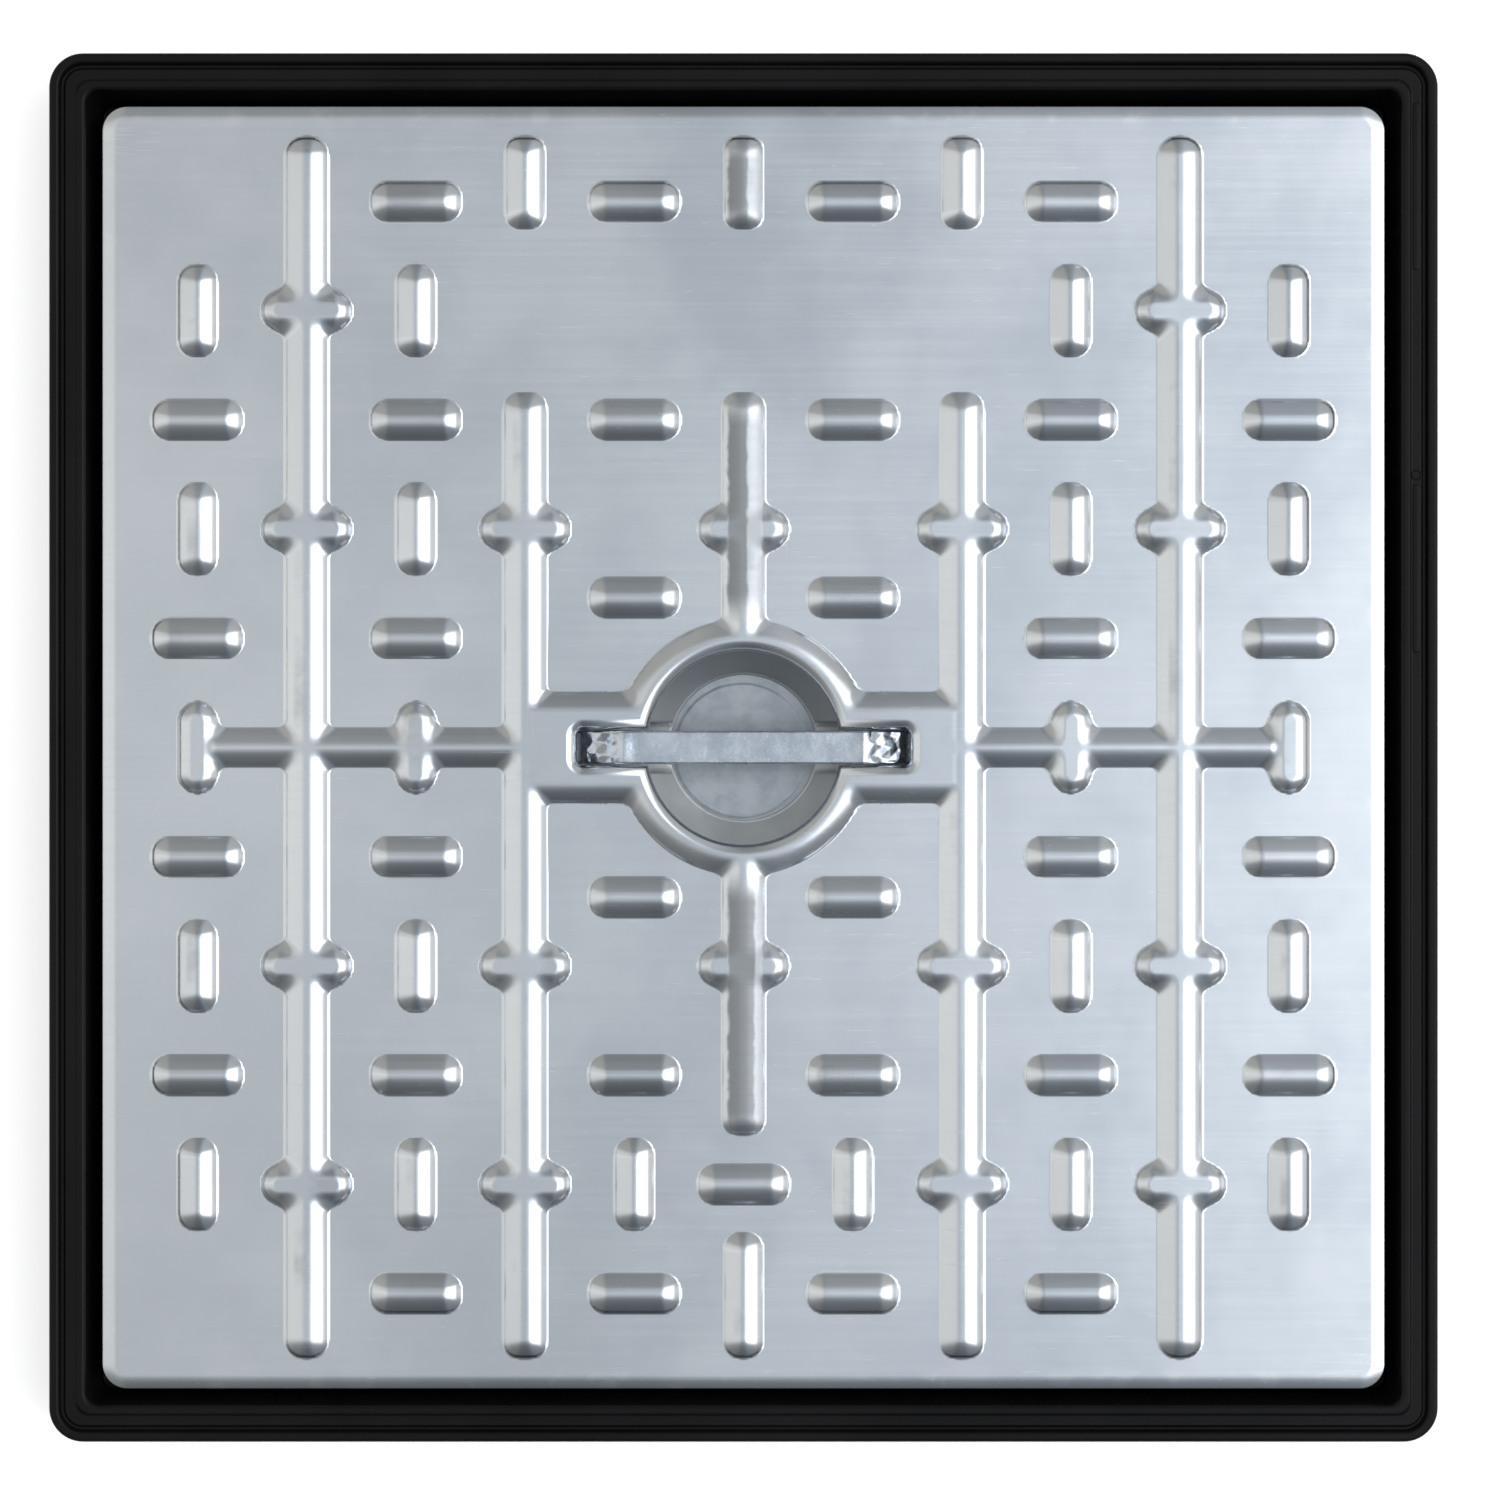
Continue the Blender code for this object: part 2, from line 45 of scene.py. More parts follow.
# Pressed plate
PITCH = 41.72
FLAT = 38.9
SHEET = 2.0
RAISE = 3.5
FLANK = np.radians(44.0)
FOOT_RADIUS = 0.8
SHOULDER_RADIUS = 10.6
PAD_LONG = 18.0
PAD_SHORT = 8.0
NODE_LONG = 17.8
NODE_STEEP = 1.4
ROUND_END = 2.3
POINTED_END = 2.0
BLUNT_END = 2.9
RIB_HALF = 8.7
RIB_END = 233.8
RIB_TOP = 135.8
CENTRE_RIB_FOOT = 148.3
LONG_PAD_HALF = 24.5
CROSS_RIB_HALF = 7.6
INNER_PAD_Y = PITCH + 15.5
BOSS_RADIUS = 49.3
BAND_HALF_X = 88.0
BAND_HALF_Y = 21.4
NODE_BLEND = 6.0
RIB_BLEND = 4.0
BOSS_BLEND = 3.2

# Edge of the plate: an easy curve that tightens into the skirt
PLATE_HALF = 245.5
PLATE_CORE = 235.5
EASE_RADIUS = 13.0
EASE_ANGLE = np.radians(24.0)
ROLL_RADIUS = 1.0
INNER_ROLL = 2.0
SKIRT_FOOT = 14.4

# Recess for the handle
POCKET_RADIUS = 37.0
SLOT_X = 63.75
SLOT_Y = 6.9
SLOT_CORNER = 2.6
LIP_ROLL = 4.2
LIP_FOOT = 36.9

# Plan grid of the plate's two skins
TOP_STEP = 0.8
UNDER_STEP = 1.6
GRID_HALF = 235.2
HOLE_X = 75.2
HOLE_Y = 48.0
PLATE_TRIANGLES = 188000

# Frame's band with its raised marks, stiffeners and floor
BAND_TOP = 41.2
MARK_X = 256.8
MARK_HALF = 1.6
MARK_EDGE = 0.45
STRIP_FOOT = 41.1
RING_MIDDLE = 41.3
CHANNEL_SHEET = 1.5
CHANNEL_HALF_LENGTH = 236.5
CHANNEL_MIDDLES = (70, -70, 131, -131, 192, -192)
FLOOR_HALF = 15000.0
FLOOR_LEVEL = -0.05


def unit(vectors):
    """Each vector divided by its length."""
    return vectors / np.linalg.norm(vectors, axis=-1, keepdims=True)


def strip(inside, outside):
    """Quads between two closed rings of point numbers, turned to face out of the ring's own side."""
    return np.stack([inside, outside, np.roll(outside, -1), np.roll(inside, -1)], axis=1)


def halving_strip(many, few):
    """Five-sided faces that join a ring of points to one with half as many."""
    first, second = many[0::2], many[1::2]
    return np.stack([first, few, np.roll(few, -1), np.roll(first, -1), second], axis=1)


class Shape:
    """Points, normals and polygons of one mesh, gathered block by block."""

    def __init__(self):
        self.points, self.normals, self.polygons, self.count = [], [], [], 0

    def add(self, points, normals):
        """Store a block of points with their normals and return their numbers in the same layout."""
        points, normals = np.broadcast_arrays(points, normals)
        self.points.append(points.reshape(-1, 3))
        self.normals.append(normals.reshape(-1, 3))
        numbers = np.arange(points[..., 0].size).reshape(points.shape[:-1]) + self.count
        self.count += numbers.size
        return numbers

    def rings(self, rings, inward=False):
        """Join each ring of point numbers to the next one."""
        for here, there in zip(rings[:-1], rings[1:]):
            self.polygons.append(strip(there, here) if inward else strip(here, there))

    def mesh(self, name):
        """Write everything into a smooth mesh, in metres, with the normals kept as a point attribute."""
        points = np.concatenate(self.points) * MM
        corners = np.concatenate([block.ravel() for block in self.polygons])
        sizes = np.concatenate([np.full(len(block), block.shape[1]) for block in self.polygons])
        starts = np.cumsum(sizes) - sizes
        mesh = bpy.data.meshes.new(name)
        mesh.vertices.add(len(points))
        mesh.vertices.foreach_set("co", points.astype(np.float32).ravel())
        mesh.loops.add(len(corners))
        mesh.loops.foreach_set("vertex_index", corners.astype(np.int32))
        mesh.polygons.add(len(sizes))
        mesh.polygons.foreach_set("loop_start", starts.astype(np.int32))
        mesh.update(calc_edges=True)
        facing = mesh.attributes.new("facing", "FLOAT_VECTOR", "POINT")
        facing.data.foreach_set("vector", np.concatenate(self.normals).astype(np.float32).ravel())
        return mesh


def set_normals(mesh):
    """Turn the stored attribute into the mesh's own normals; points stored with none keep Blender's."""
    facing = np.zeros(len(mesh.vertices) * 3, np.float32)
    mesh.attributes["facing"].data.foreach_get("vector", facing)
    facing = facing.reshape(-1, 3)
    length = np.linalg.norm(facing, axis=1, keepdims=True)
    facing = np.where(length > 0.3, facing / np.maximum(length, 1e-6), 0.0)
    mesh.attributes.remove(mesh.attributes["facing"])
    mesh.polygons.foreach_set("use_smooth", np.ones(len(mesh.polygons), bool))
    mesh.set_sharp_from_angle(angle=CREASE)
    mesh.normals_split_custom_set_from_vertices(facing)


def new_piece(name, mesh, material, body, nodes):
    """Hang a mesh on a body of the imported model, in place of the nodes that it stands for."""
    piece = bpy.data.objects.new(name, mesh)
    bpy.context.scene.collection.objects.link(piece)
    mesh.materials.append(material)
    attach(piece, body)
    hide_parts(*nodes)
    return piece


def thinned(mesh, triangles):
    """Collapse a dense mesh to a number of triangles, most of them left where it curves."""
    holder = bpy.data.objects.new(mesh.name, mesh)
    bpy.context.scene.collection.objects.link(holder)
    corners = np.zeros(len(mesh.polygons), np.int32)
    mesh.polygons.foreach_get("loop_total", corners)
    modifier = holder.modifiers.new("thinning", "DECIMATE")
    modifier.ratio = min(1.0, triangles / (corners - 2).sum())
    ready = holder.evaluated_get(bpy.context.evaluated_depsgraph_get())
    result = bpy.data.meshes.new_from_object(ready)
    result.name = mesh.name
    bpy.data.objects.remove(holder)
    bpy.data.meshes.remove(mesh)
    return result


def raised_forms():
    """Every raised form: its middle, half lengths, corner size, corner bluntness, blend and steepness."""
    forms = []

    def add(
        columns, rows, half_x=PAD_LONG, half_y=PAD_SHORT, blunt=ROUND_END, blend=0.0, corner=None, steep=1.0
    ):
        size = (half_x, half_y, min(half_x, half_y) if corner is None else corner)
        for column in columns:
            forms.extend((column * PITCH, row * PITCH, *size, blunt, blend, steep) for row in rows)

    def add_nodes(columns, rows, half_x=NODE_LONG, half_y=PAD_SHORT):
        add(columns, rows, half_x, half_y, POINTED_END, NODE_BLEND, steep=NODE_STEEP)

    # Ribs, pocket boss and the nodes where forms cross
    half = (RIB_TOP + RIB_END) / 2
    add((-4, 4), (0,), RIB_HALF, RIB_END, ROUND_END)
    add((-2, 2), ((RIB_TOP - half) / PITCH,), RIB_HALF, half, BLUNT_END)
    add((-2, 2), (-RIB_END / 2 / PITCH,), RIB_HALF, RIB_END / 2, ROUND_END)
    half = (RIB_TOP + CENTRE_RIB_FOOT) / 2
    add((0,), ((RIB_TOP - half) / PITCH,), RIB_HALF, half, BLUNT_END)
    add((0,), (0,), 5 * PITCH, CROSS_RIB_HALF, 2.0, RIB_BLEND)
    add((0,), (0,), BOSS_RADIUS, BOSS_RADIUS, 2.0, BOSS_BLEND)
    add((0,), (0,), BAND_HALF_X, BAND_HALF_Y, 2.0, BOSS_BLEND, 5.0)
    add_nodes((-4, 4), (4, 2, -2, -4))
    add_nodes((-2, 2), (2, -2, -4))
    add_nodes((0,), (2, -2))
    add_nodes((-5, -3, 3, 5), (0,), PAD_SHORT, NODE_LONG)

    # Single pads
    add((-5, -3, 3, 5), (3, 1, -1, -3))
    add((-5, -3, 3, 5), (4, 2, -2, -4), PAD_SHORT, PAD_LONG)
    add((-3, -1, 1, 3), (5, -5))
    add((-1, 1), (3, -3))
    add((-1, 1), (INNER_PAD_Y / PITCH, -INNER_PAD_Y / PITCH))
    add((-1, 1), (-4,), PAD_SHORT, PAD_LONG)
    add((0,), (-4,))
    add((-2, 0, 2), ((RIB_END - PAD_LONG) / PITCH,), PAD_SHORT, PAD_LONG, BLUNT_END)
    add((0,), ((LONG_PAD_HALF - RIB_END) / PITCH,), PAD_SHORT, LONG_PAD_HALF, ROUND_END)
    return forms


FORMS = raised_forms()


def outline_distance(x, y):
    """Distance outside the foot of the raised forms, and its slope in x and y.

    Each form is a box with rounded corners: with q the offset from the box's core and p the
    bluntness, the distance is the p-th root of the sum of the p-th powers of the positive parts
    of q, plus the largest negative part, less the corner size, all times the form's steepness.
    Forms join by a smooth minimum: share = 1/2 + (old - new) / (2 blend), held between 0 and 1,
    gives old (1 - share) + new share - blend share (1 - share).
    """
    reach = 9.0
    distance, slope_x, slope_y = np.full(x.shape, reach), np.zeros(x.shape), np.zeros(x.shape)
    for middle_x, middle_y, half_x, half_y, corner, blunt, blend, steep in FORMS:
        near = (np.abs(x - middle_x) < half_x + reach) & (np.abs(y - middle_y) < half_y + reach)
        off_x, off_y = x[near] - middle_x, y[near] - middle_y
        out_x, out_y = np.abs(off_x) - half_x + corner, np.abs(off_y) - half_y + corner
        push_x, push_y = np.maximum(out_x, 0.0), np.maximum(out_y, 0.0)
        length = (push_x**blunt + push_y**blunt) ** (1 / blunt)
        new = steep * (length + np.minimum(np.maximum(out_x, out_y), 0.0) - corner)
        inside = length == 0.0
        whole = np.where(inside, 1.0, length)
        toward_x = np.where(inside, out_x >= out_y, (push_x / whole) ** (blunt - 1)) * np.sign(off_x) * steep
        toward_y = np.where(inside, out_x < out_y, (push_y / whole) ** (blunt - 1)) * np.sign(off_y) * steep
        old = distance[near]
        share = np.clip(0.5 + (old - new) / (2.0 * max(blend, 1e-6)), 0.0, 1.0)
        distance[near] = old * (1.0 - share) + new * share - blend * share * (1.0 - share)
        slope_x[near] = slope_x[near] * (1.0 - share) + toward_x * share
        slope_y[near] = slope_y[near] * (1.0 - share) + toward_y * share
    return distance, slope_x, slope_y


def pressed_skin(x, y, under):
    """Points and normals of the top skin (under = 0) or of the one a sheet's thickness below it.

    Going in from a form's foot the height follows a hollow arc, a straight flank and a round
    shoulder up to the flat top. The lower skin has the same centres, with the sheet's thickness
    added to the hollow radius and taken from the round one.
    """
    distance, slope_x, slope_y = outline_distance(x, y)
    foot, shoulder = FOOT_RADIUS + under, SHOULDER_RADIUS - under
    sine, cosine, tangent = np.sin(FLANK), np.cos(FLANK), np.tan(FLANK)
    bends = (FOOT_RADIUS + SHOULDER_RADIUS) * (1.0 - cosine)
    run = (FOOT_RADIUS + SHOULDER_RADIUS) * sine + (RAISE - bends) / tangent
    inward = np.clip(-distance, 0.0, run)
    to_top = run - inward
    low = np.sqrt(np.maximum(foot**2 - inward**2, 1e-9))
    high = np.sqrt(np.maximum(shoulder**2 - to_top**2, 1e-9))
    on_foot, on_shoulder = inward < foot * sine, to_top < shoulder * sine
    flank = foot * (1.0 - cosine) + (inward - foot * sine) * tangent
    height = np.where(on_foot, foot - low, np.where(on_shoulder, RAISE - shoulder + high, flank))
    rise = np.where(on_foot, inward / low, np.where(on_shoulder, to_top / high, tangent))
    points = np.stack([x, y, FLAT - under + height], axis=-1)
    normals = unit(np.stack([rise * slope_x, rise * slope_y, np.ones(x.shape)], axis=-1))
    return points, normals * (1.0 if under == 0 else -1.0)


def around(first_quarter):
    """A closed ring from the points of its first quarter, which runs from the x axis to the y axis."""
    ahead, back = first_quarter[..., :-1, :], first_quarter[..., :0:-1, :]
    return np.concatenate([ahead, back * (-1, 1), -ahead, back * (1, -1)], axis=-2)


def box_ring(half_x, half_y, step):
    """Points of a plan grid that lie round a box."""
    up = np.arange(0.0, half_y - step / 4, step)
    along = np.arange(half_x, -step / 4, -step)
    x = np.concatenate([np.full(len(up), half_x), along])
    y = np.concatenate([up, np.full(len(along), half_y)])
    return around(np.stack([x, y], axis=-1))


def recess_ring(radius, half_x, half_y, corner, counts):
    """Outline of a round pocket with a box across it: end, corner and side of the box, then the circle.

    Returns the points and the directions that face away from the recess.
    """
    end, bend, side, arc = counts
    turn = np.linspace(0.0, QUARTER, bend + 1)[:-1]
    meet = np.arcsin(half_y / radius)
    sweep = np.linspace(meet, QUARTER, arc + 1)
    x = np.concatenate([
        np.full(end, half_x),
        half_x - corner + corner * np.cos(turn),
        np.linspace(half_x - corner, radius * np.cos(meet), side + 1)[:-1],
        radius * np.cos(sweep),
    ])
    y = np.concatenate([
        np.linspace(0.0, half_y - corner, end + 1)[:-1],
        half_y - corner + corner * np.sin(turn),
        np.full(side, half_y),
        radius * np.sin(sweep),
    ])
    away_x = np.concatenate([np.ones(end), np.cos(turn), np.zeros(side), np.cos(sweep)])
    away_y = np.concatenate([np.zeros(end), np.sin(turn), np.ones(side), np.sin(sweep)])
    return around(np.stack([x, y], axis=-1)), around(np.stack([away_x, away_y], axis=-1))


def plan_grid(shape, step, under):
    """One skin of the plate on a square grid with a hole for the recess.

    Returns the numbers of its points along the grid's edge and along the hole's edge.
    """
    count = int(round(GRID_HALF / step))
    line = np.arange(-count, count + 1) * step
    y, x = np.meshgrid(line, line, indexing="ij")
    kept = (np.abs(x) > HOLE_X - step / 4) | (np.abs(y) > HOLE_Y - step / 4)
    numbers = np.full(x.shape, -1)
    points, normals = pressed_skin(x[kept], y[kept], under)
    numbers[kept] = shape.add(points, normals)
    quads = np.stack([numbers[:-1, :-1], numbers[:-1, 1:], numbers[1:, 1:], numbers[1:, :-1]], axis=-1)
    middle_x, middle_y = x[:-1, :-1] + step / 2, y[:-1, :-1] + step / 2
    solid = (np.abs(middle_x) > HOLE_X) | (np.abs(middle_y) > HOLE_Y)
    quads = quads[solid]
    shape.polygons.append(quads if under == 0 else quads[:, ::-1])

    def numbers_along(half_x, half_y):
        place = np.rint(box_ring(half_x, half_y, step) / step).astype(int) + count
        return numbers[place[:, 1], place[:, 0]]

    return numbers_along(GRID_HALF, GRID_HALF), numbers_along(HOLE_X, HOLE_Y)


def edge_rings(step, inset, roll, eased, rolled):
    """Rings of the rolled edge, from the flat to the skirt: an easy arc, then a tight one that meets it.

    Each point of the square grid's edge keeps its place along the side, and in a corner turns about
    the corner's centre. A ring lies at its arc's centre plus radius times (sine, cosine) of the
    sheet's angle from flat. Both skins share the easy arc's centre, and the tight arc touches the
    skirt, so the angle where they meet has a sine of the gap between the two centres over the
    difference of the two radii.
    """
    spot = box_ring(GRID_HALF, GRID_HALF, step)
    grown = spot / GRID_HALF * PLATE_HALF
    core = np.clip(grown, -PLATE_CORE, PLATE_CORE)
    facing = unit(grown - core)
    start = PLATE_HALF - ROLL_RADIUS - (EASE_RADIUS - ROLL_RADIUS) * np.sin(EASE_ANGLE)
    easy = EASE_RADIUS - inset
    meet = np.arcsin((PLATE_HALF - inset - roll - start) / (easy - roll))
    angles = np.concatenate([np.linspace(0, meet, eased), np.linspace(meet, QUARTER, rolled + 1)[1:]])
    tight = np.arange(eased + rolled) >= eased
    radius = np.where(tight, roll, easy)
    shift = easy - radius
    half = start + shift * np.sin(meet) + radius * np.sin(angles)
    height = FLAT - EASE_RADIUS + shift * np.cos(meet) + radius * np.cos(angles)
    return square_points(core, facing, half, height, np.sin(angles), np.cos(angles))


def square_points(core, facing, half, height, out, up):
    """Points at half sizes and heights round a square, with normals that lean out and up."""
    reach = (half - PLATE_CORE)[:, None, None]
    plan = core + facing * reach
    count = plan.shape[:2]
    points = np.concatenate([plan, np.broadcast_to(height[:, None, None], (*count, 1))], axis=-1)
    lean = facing * out[:, None, None]
    normals = np.concatenate([lean, np.broadcast_to(up[:, None, None], (*count, 1))], axis=-1)
    return points, normals


def lip_rings(counts, offsets, heights, out, up):
    """Rings at offsets from the recess's outline, at given heights, with normals that lean out and up."""
    points, normals = [], []
    for offset, height, lean, rise in zip(offsets, heights, out, up):
        ring, away = recess_ring(
            POCKET_RADIUS + offset, SLOT_X + offset, SLOT_Y + offset, SLOT_CORNER + offset, counts
        )
        points.append(np.column_stack([ring, np.full(len(ring), height)]))
        normals.append(np.column_stack([away * lean, np.full(len(ring), rise)]))
    return np.array(points), np.array(normals)


def patch_rings(outer, inner, rows, under):
    """Rings of one skin between a box of grid points and the outline where the lip starts to roll."""
    share = np.linspace(0.0, 1.0, rows + 1)[1:, None, None]
    plan = outer * (1.0 - share) + inner * share
    return pressed_skin(plan[..., 0], plan[..., 1], under)


def pressed_plate():
    """The pressed plate: two skins on plan grids, a rolled edge with its skirt, and a rolled lip."""
    shape = Shape()
    edge, hole = plan_grid(shape, TOP_STEP, 0.0)
    under_edge, under_hole = plan_grid(shape, UNDER_STEP, SHEET)

    # Outside: easy curve, roll, skirt and its cut edge
    rings = shape.add(*edge_rings(TOP_STEP, 0.0, ROLL_RADIUS, 9, 11))
    shape.rings([edge, *rings])
    spot = box_ring(GRID_HALF, GRID_HALF, TOP_STEP) / GRID_HALF * PLATE_HALF
    core = np.clip(spot, -PLATE_CORE, PLATE_CORE)
    facing = unit(spot - core)
    turn = np.linspace(0, 2 * QUARTER, 9)
    foot_half = PLATE_HALF - SHEET / 2 + SHEET / 2 * np.cos(turn)
    foot_height = SKIRT_FOOT + SHEET / 2 - SHEET / 2 * np.sin(turn)
    half = np.concatenate([[PLATE_HALF] * 3, foot_half, [PLATE_HALF - SHEET]])
    height = np.concatenate([[30.0, 24.0, 18.0], foot_height, [18.0]])
    none = np.zeros(len(half))
    skirt = shape.add(*square_points(core, facing, half, height, none, none))
    shape.rings([rings[-1], *skirt])

    # Inside: up the skirt, round the roll and on to the lower skin
    few = slice(0, None, 2)
    half, height = np.array([PLATE_HALF - SHEET] * 2), np.array([22.0, 28.0])
    inner = shape.add(*square_points(core[few], facing[few], half, height, np.zeros(2), np.zeros(2)))
    shape.polygons.append(halving_strip(skirt[-1], inner[0]))
    points, normals = edge_rings(UNDER_STEP, SHEET, INNER_ROLL, 4, 7)
    rings = shape.add(points[::-1], -normals[::-1])
    shape.rings([*inner, *rings, under_edge])

    # Recess: plateau, roll, lip, its cut edge, and back up to the lower skin
    counts = (8, 20, 36, 90)
    turn = np.linspace(0, QUARTER, 13)
    rolled = np.array([POCKET_RADIUS, SLOT_X, SLOT_Y, SLOT_CORNER]) + LIP_ROLL
    brim, _ = recess_ring(*rolled, counts)
    patch = shape.add(*patch_rings(box_ring(HOLE_X, HOLE_Y, TOP_STEP), brim, 46, 0.0))
    centre = FLAT + RAISE - LIP_ROLL
    tip = np.linspace(0, 2 * QUARTER, 7)
    sine, cosine = np.sin(turn[1:]), np.cos(turn[1:])
    offsets = np.concatenate([LIP_ROLL * (1 - sine), SHEET / 2 - SHEET / 2 * np.cos(tip), [SHEET]])
    cut = LIP_FOOT + SHEET / 2 * (1 - np.sin(tip))
    heights = np.concatenate([centre + LIP_ROLL * cosine, cut, [centre]])
    out = np.concatenate([-sine, -np.cos(tip), [1.0]])
    up = np.concatenate([cosine, -np.sin(tip), [0.0]])
    lip = shape.add(*lip_rings(counts, offsets, heights, out, up))
    shape.rings([hole, *patch, *lip], inward=True)

    back = turn[::-2]
    few_counts = tuple(count // 2 for count in counts)
    offsets = LIP_ROLL - (LIP_ROLL - SHEET) * np.sin(back)
    heights = centre + (LIP_ROLL - SHEET) * np.cos(back)
    under_lip = shape.add(*lip_rings(few_counts, offsets, heights, np.sin(back), -np.cos(back)))
    shape.polygons.append(halving_strip(lip[-1], under_lip[0])[:, ::-1])
    brim, _ = recess_ring(*rolled, few_counts)
    points, normals = patch_rings(box_ring(HOLE_X, HOLE_Y, UNDER_STEP), brim, 24, SHEET)
    patch = shape.add(points[-2::-1], normals[-2::-1])
    shape.rings([*under_lip, *patch, under_hole], inward=True)
    return shape


def filleted(corners, steps):
    """Closed outline with each corner turned on an arc.

    Rows give two plan sizes, a third value that rides along, and the arc's radius. The arc's centre
    lies on the corner's halving line, and the arc turns evenly between the two touching points.
    Returns the points, their outward normals and the third value, for an outline that keeps its
    inside on the left of its travel.
    """
    corners = np.array(corners, float)
    spot, radius = corners[:, :2], corners[:, 3]
    back = unit(np.roll(spot, 1, axis=0) - spot)
    ahead = unit(np.roll(spot, -1, axis=0) - spot)
    half = np.arccos(np.clip((back * ahead).sum(axis=1), -1.0, 1.0)) / 2
    centre = spot + unit(back + ahead) * (radius / np.sin(half))[:, None]
    start = spot + back * (radius / np.tan(half))[:, None] - centre
    end = spot + ahead * (radius / np.tan(half))[:, None] - centre
    sweep = (np.pi - 2 * half)[:, None]
    share = np.linspace(0.0, 1.0, steps + 1)
    early, late = np.sin((1 - share) * sweep) / np.sin(sweep), np.sin(share * sweep) / np.sin(sweep)
    arc = start[:, None] * early[..., None] + end[:, None] * late[..., None]
    side = np.sign(start[:, 0] * -back[:, 1] + start[:, 1] * back[:, 0])
    points = centre[:, None] + arc
    normals = arc * (side / radius)[:, None, None]
    third = np.repeat(corners[:, 2], steps + 1)
    return points.reshape(-1, 2), normals.reshape(-1, 2), third


def bent_line(corners, radius, steps, spacing):
    """Open line through corner points, each inner one turned on an arc, with points a spacing apart.

    Returns the points and their normals, to the left of the line's travel.
    """
    corners = np.array(corners, float)
    along = unit(np.diff(corners, axis=0))
    turn = np.arccos(np.clip((along[:-1] * along[1:]).sum(axis=1), -1.0, 1.0))
    side = np.sign(along[:-1, 0] * along[1:, 1] - along[:-1, 1] * along[1:, 0])
    cut = np.concatenate([[0.0], radius * np.tan(turn / 2), [0.0]])
    left = np.stack([-along[:, 1], along[:, 0]], axis=1)
    points, normals = [], []
    for number in range(len(along)):
        begin = corners[number] + along[number] * cut[number]
        finish = corners[number + 1] - along[number] * cut[number + 1]
        count = max(2, int(np.linalg.norm(finish - begin) / spacing) + 2)
        points.append(begin + (finish - begin) * np.linspace(0, 1, count)[:, None])
        normals.append(np.repeat(left[number:number + 1], count, axis=0))
        if number < len(turn):
            angle = np.linspace(0, turn[number], steps + 1)[1:-1, None]
            centre = finish + left[number] * side[number] * radius
            facing = left[number] * np.cos(angle) - along[number] * side[number] * np.sin(angle)
            points.append(centre - facing * side[number] * radius)
            normals.append(facing)
    return np.concatenate(points), np.concatenate(normals)


def square_path(straight, bend):
    """Round a square: corner centres in parts of the core size, and the directions that face outwards."""
    along = np.linspace(-1, 1, straight + 1)
    turn = np.linspace(0, QUARTER, bend + 1)[1:-1]
    x = np.ones(straight + bend)
    y = np.concatenate([along, np.ones(bend - 1)])
    angle = np.concatenate([np.zeros(straight + 1), turn])
    centre, facing = np.stack([x, y], axis=1), np.stack([np.cos(angle), np.sin(angle)], axis=1)
    centres, facings = [], []
    for quarter in range(4):
        cosine, sine = np.rint(np.cos(quarter * QUARTER)), np.rint(np.sin(quarter * QUARTER))
        spin = np.array([[cosine, sine], [-sine, cosine]])
        centres.append(centre @ spin)
        facings.append(facing @ spin)
    return np.concatenate(centres), np.concatenate(facings)


def square_ring(shape, corners, steps, straight, bend):
    """Carry a closed profile (half size, height, corner core, fillet) round a square.

    A point of the path lies at core x centre + (half size - core) x facing.
    """
    profile, lean, core = filleted(corners, steps)
    centre, facing = square_path(straight, bend)
    plan = centre * core[:, None, None] + facing * (profile[:, :1] - core[:, None])[:, :, None]
    height = np.broadcast_to(profile[:, 1, None, None], (*plan.shape[:2], 1))
    rise = np.broadcast_to(lean[:, 1, None, None], (*plan.shape[:2], 1))
    points = np.concatenate([plan, height], axis=-1)
    normals = np.concatenate([facing * lean[:, 0, None, None], rise], axis=-1)
    rings = shape.add(points, normals)
    shape.rings([*rings, rings[0]], inward=True)


def box_block(shape, low, high, draft):
    """Boxes between low and high corners, each narrowed by a draft towards its foot."""
    unit_box = np.array([[x, y, z] for z in (0, 1) for y in (0, 1) for x in (0, 1)], float)
    low, high = np.atleast_2d(low)[:, None], np.atleast_2d(high)[:, None]
    points = low + (high - low) * unit_box
    inward = np.sign(0.5 - unit_box) * (1 - unit_box[:, 2:]) * (1, 1, 0)
    numbers = shape.add(points + inward * draft, np.zeros(3))
    sides = [[0, 2, 3, 1], [4, 5, 7, 6], [0, 1, 5, 4], [1, 3, 7, 5], [3, 2, 6, 7], [2, 0, 4, 6]]
    shape.polygons.append(numbers[:, sides].reshape(-1, 4))


def turned(block, quarter):
    """Low and high corners of boxes after quarter turns about the vertical."""
    low, high = block
    for _ in range(quarter):
        low, high = (
            np.stack([-high[:, 1], low[:, 0], low[:, 2]], axis=1),
            np.stack([-low[:, 1], high[:, 0], high[:, 2]], axis=1),
        )
    return low, high


def raised_strip(shape, x, low, high, half):
    """Obround raised mark on the band: a quarter-round edge carried round the outline, and a flat top."""
    angle = np.linspace(0, 4 * QUARTER, 49)[:-1]
    end = np.where(np.sin(angle) >= 0, high - half, low + half)
    turn = np.linspace(0, QUARTER, 6)[:, None]
    size = half - MARK_EDGE * (1 - np.cos(turn))
    plan_x, plan_y = x + size * np.cos(angle), end + size * np.sin(angle)
    height = np.broadcast_to(STRIP_FOOT + MARK_EDGE * np.sin(turn), plan_x.shape)
    rings = shape.add(np.stack([plan_x, plan_y, height], axis=-1), np.zeros(3))
    shape.rings(list(rings), inward=True)
    shape.polygons.append(rings[-1][None])
    shape.polygons.append(rings[0][None, ::-1])


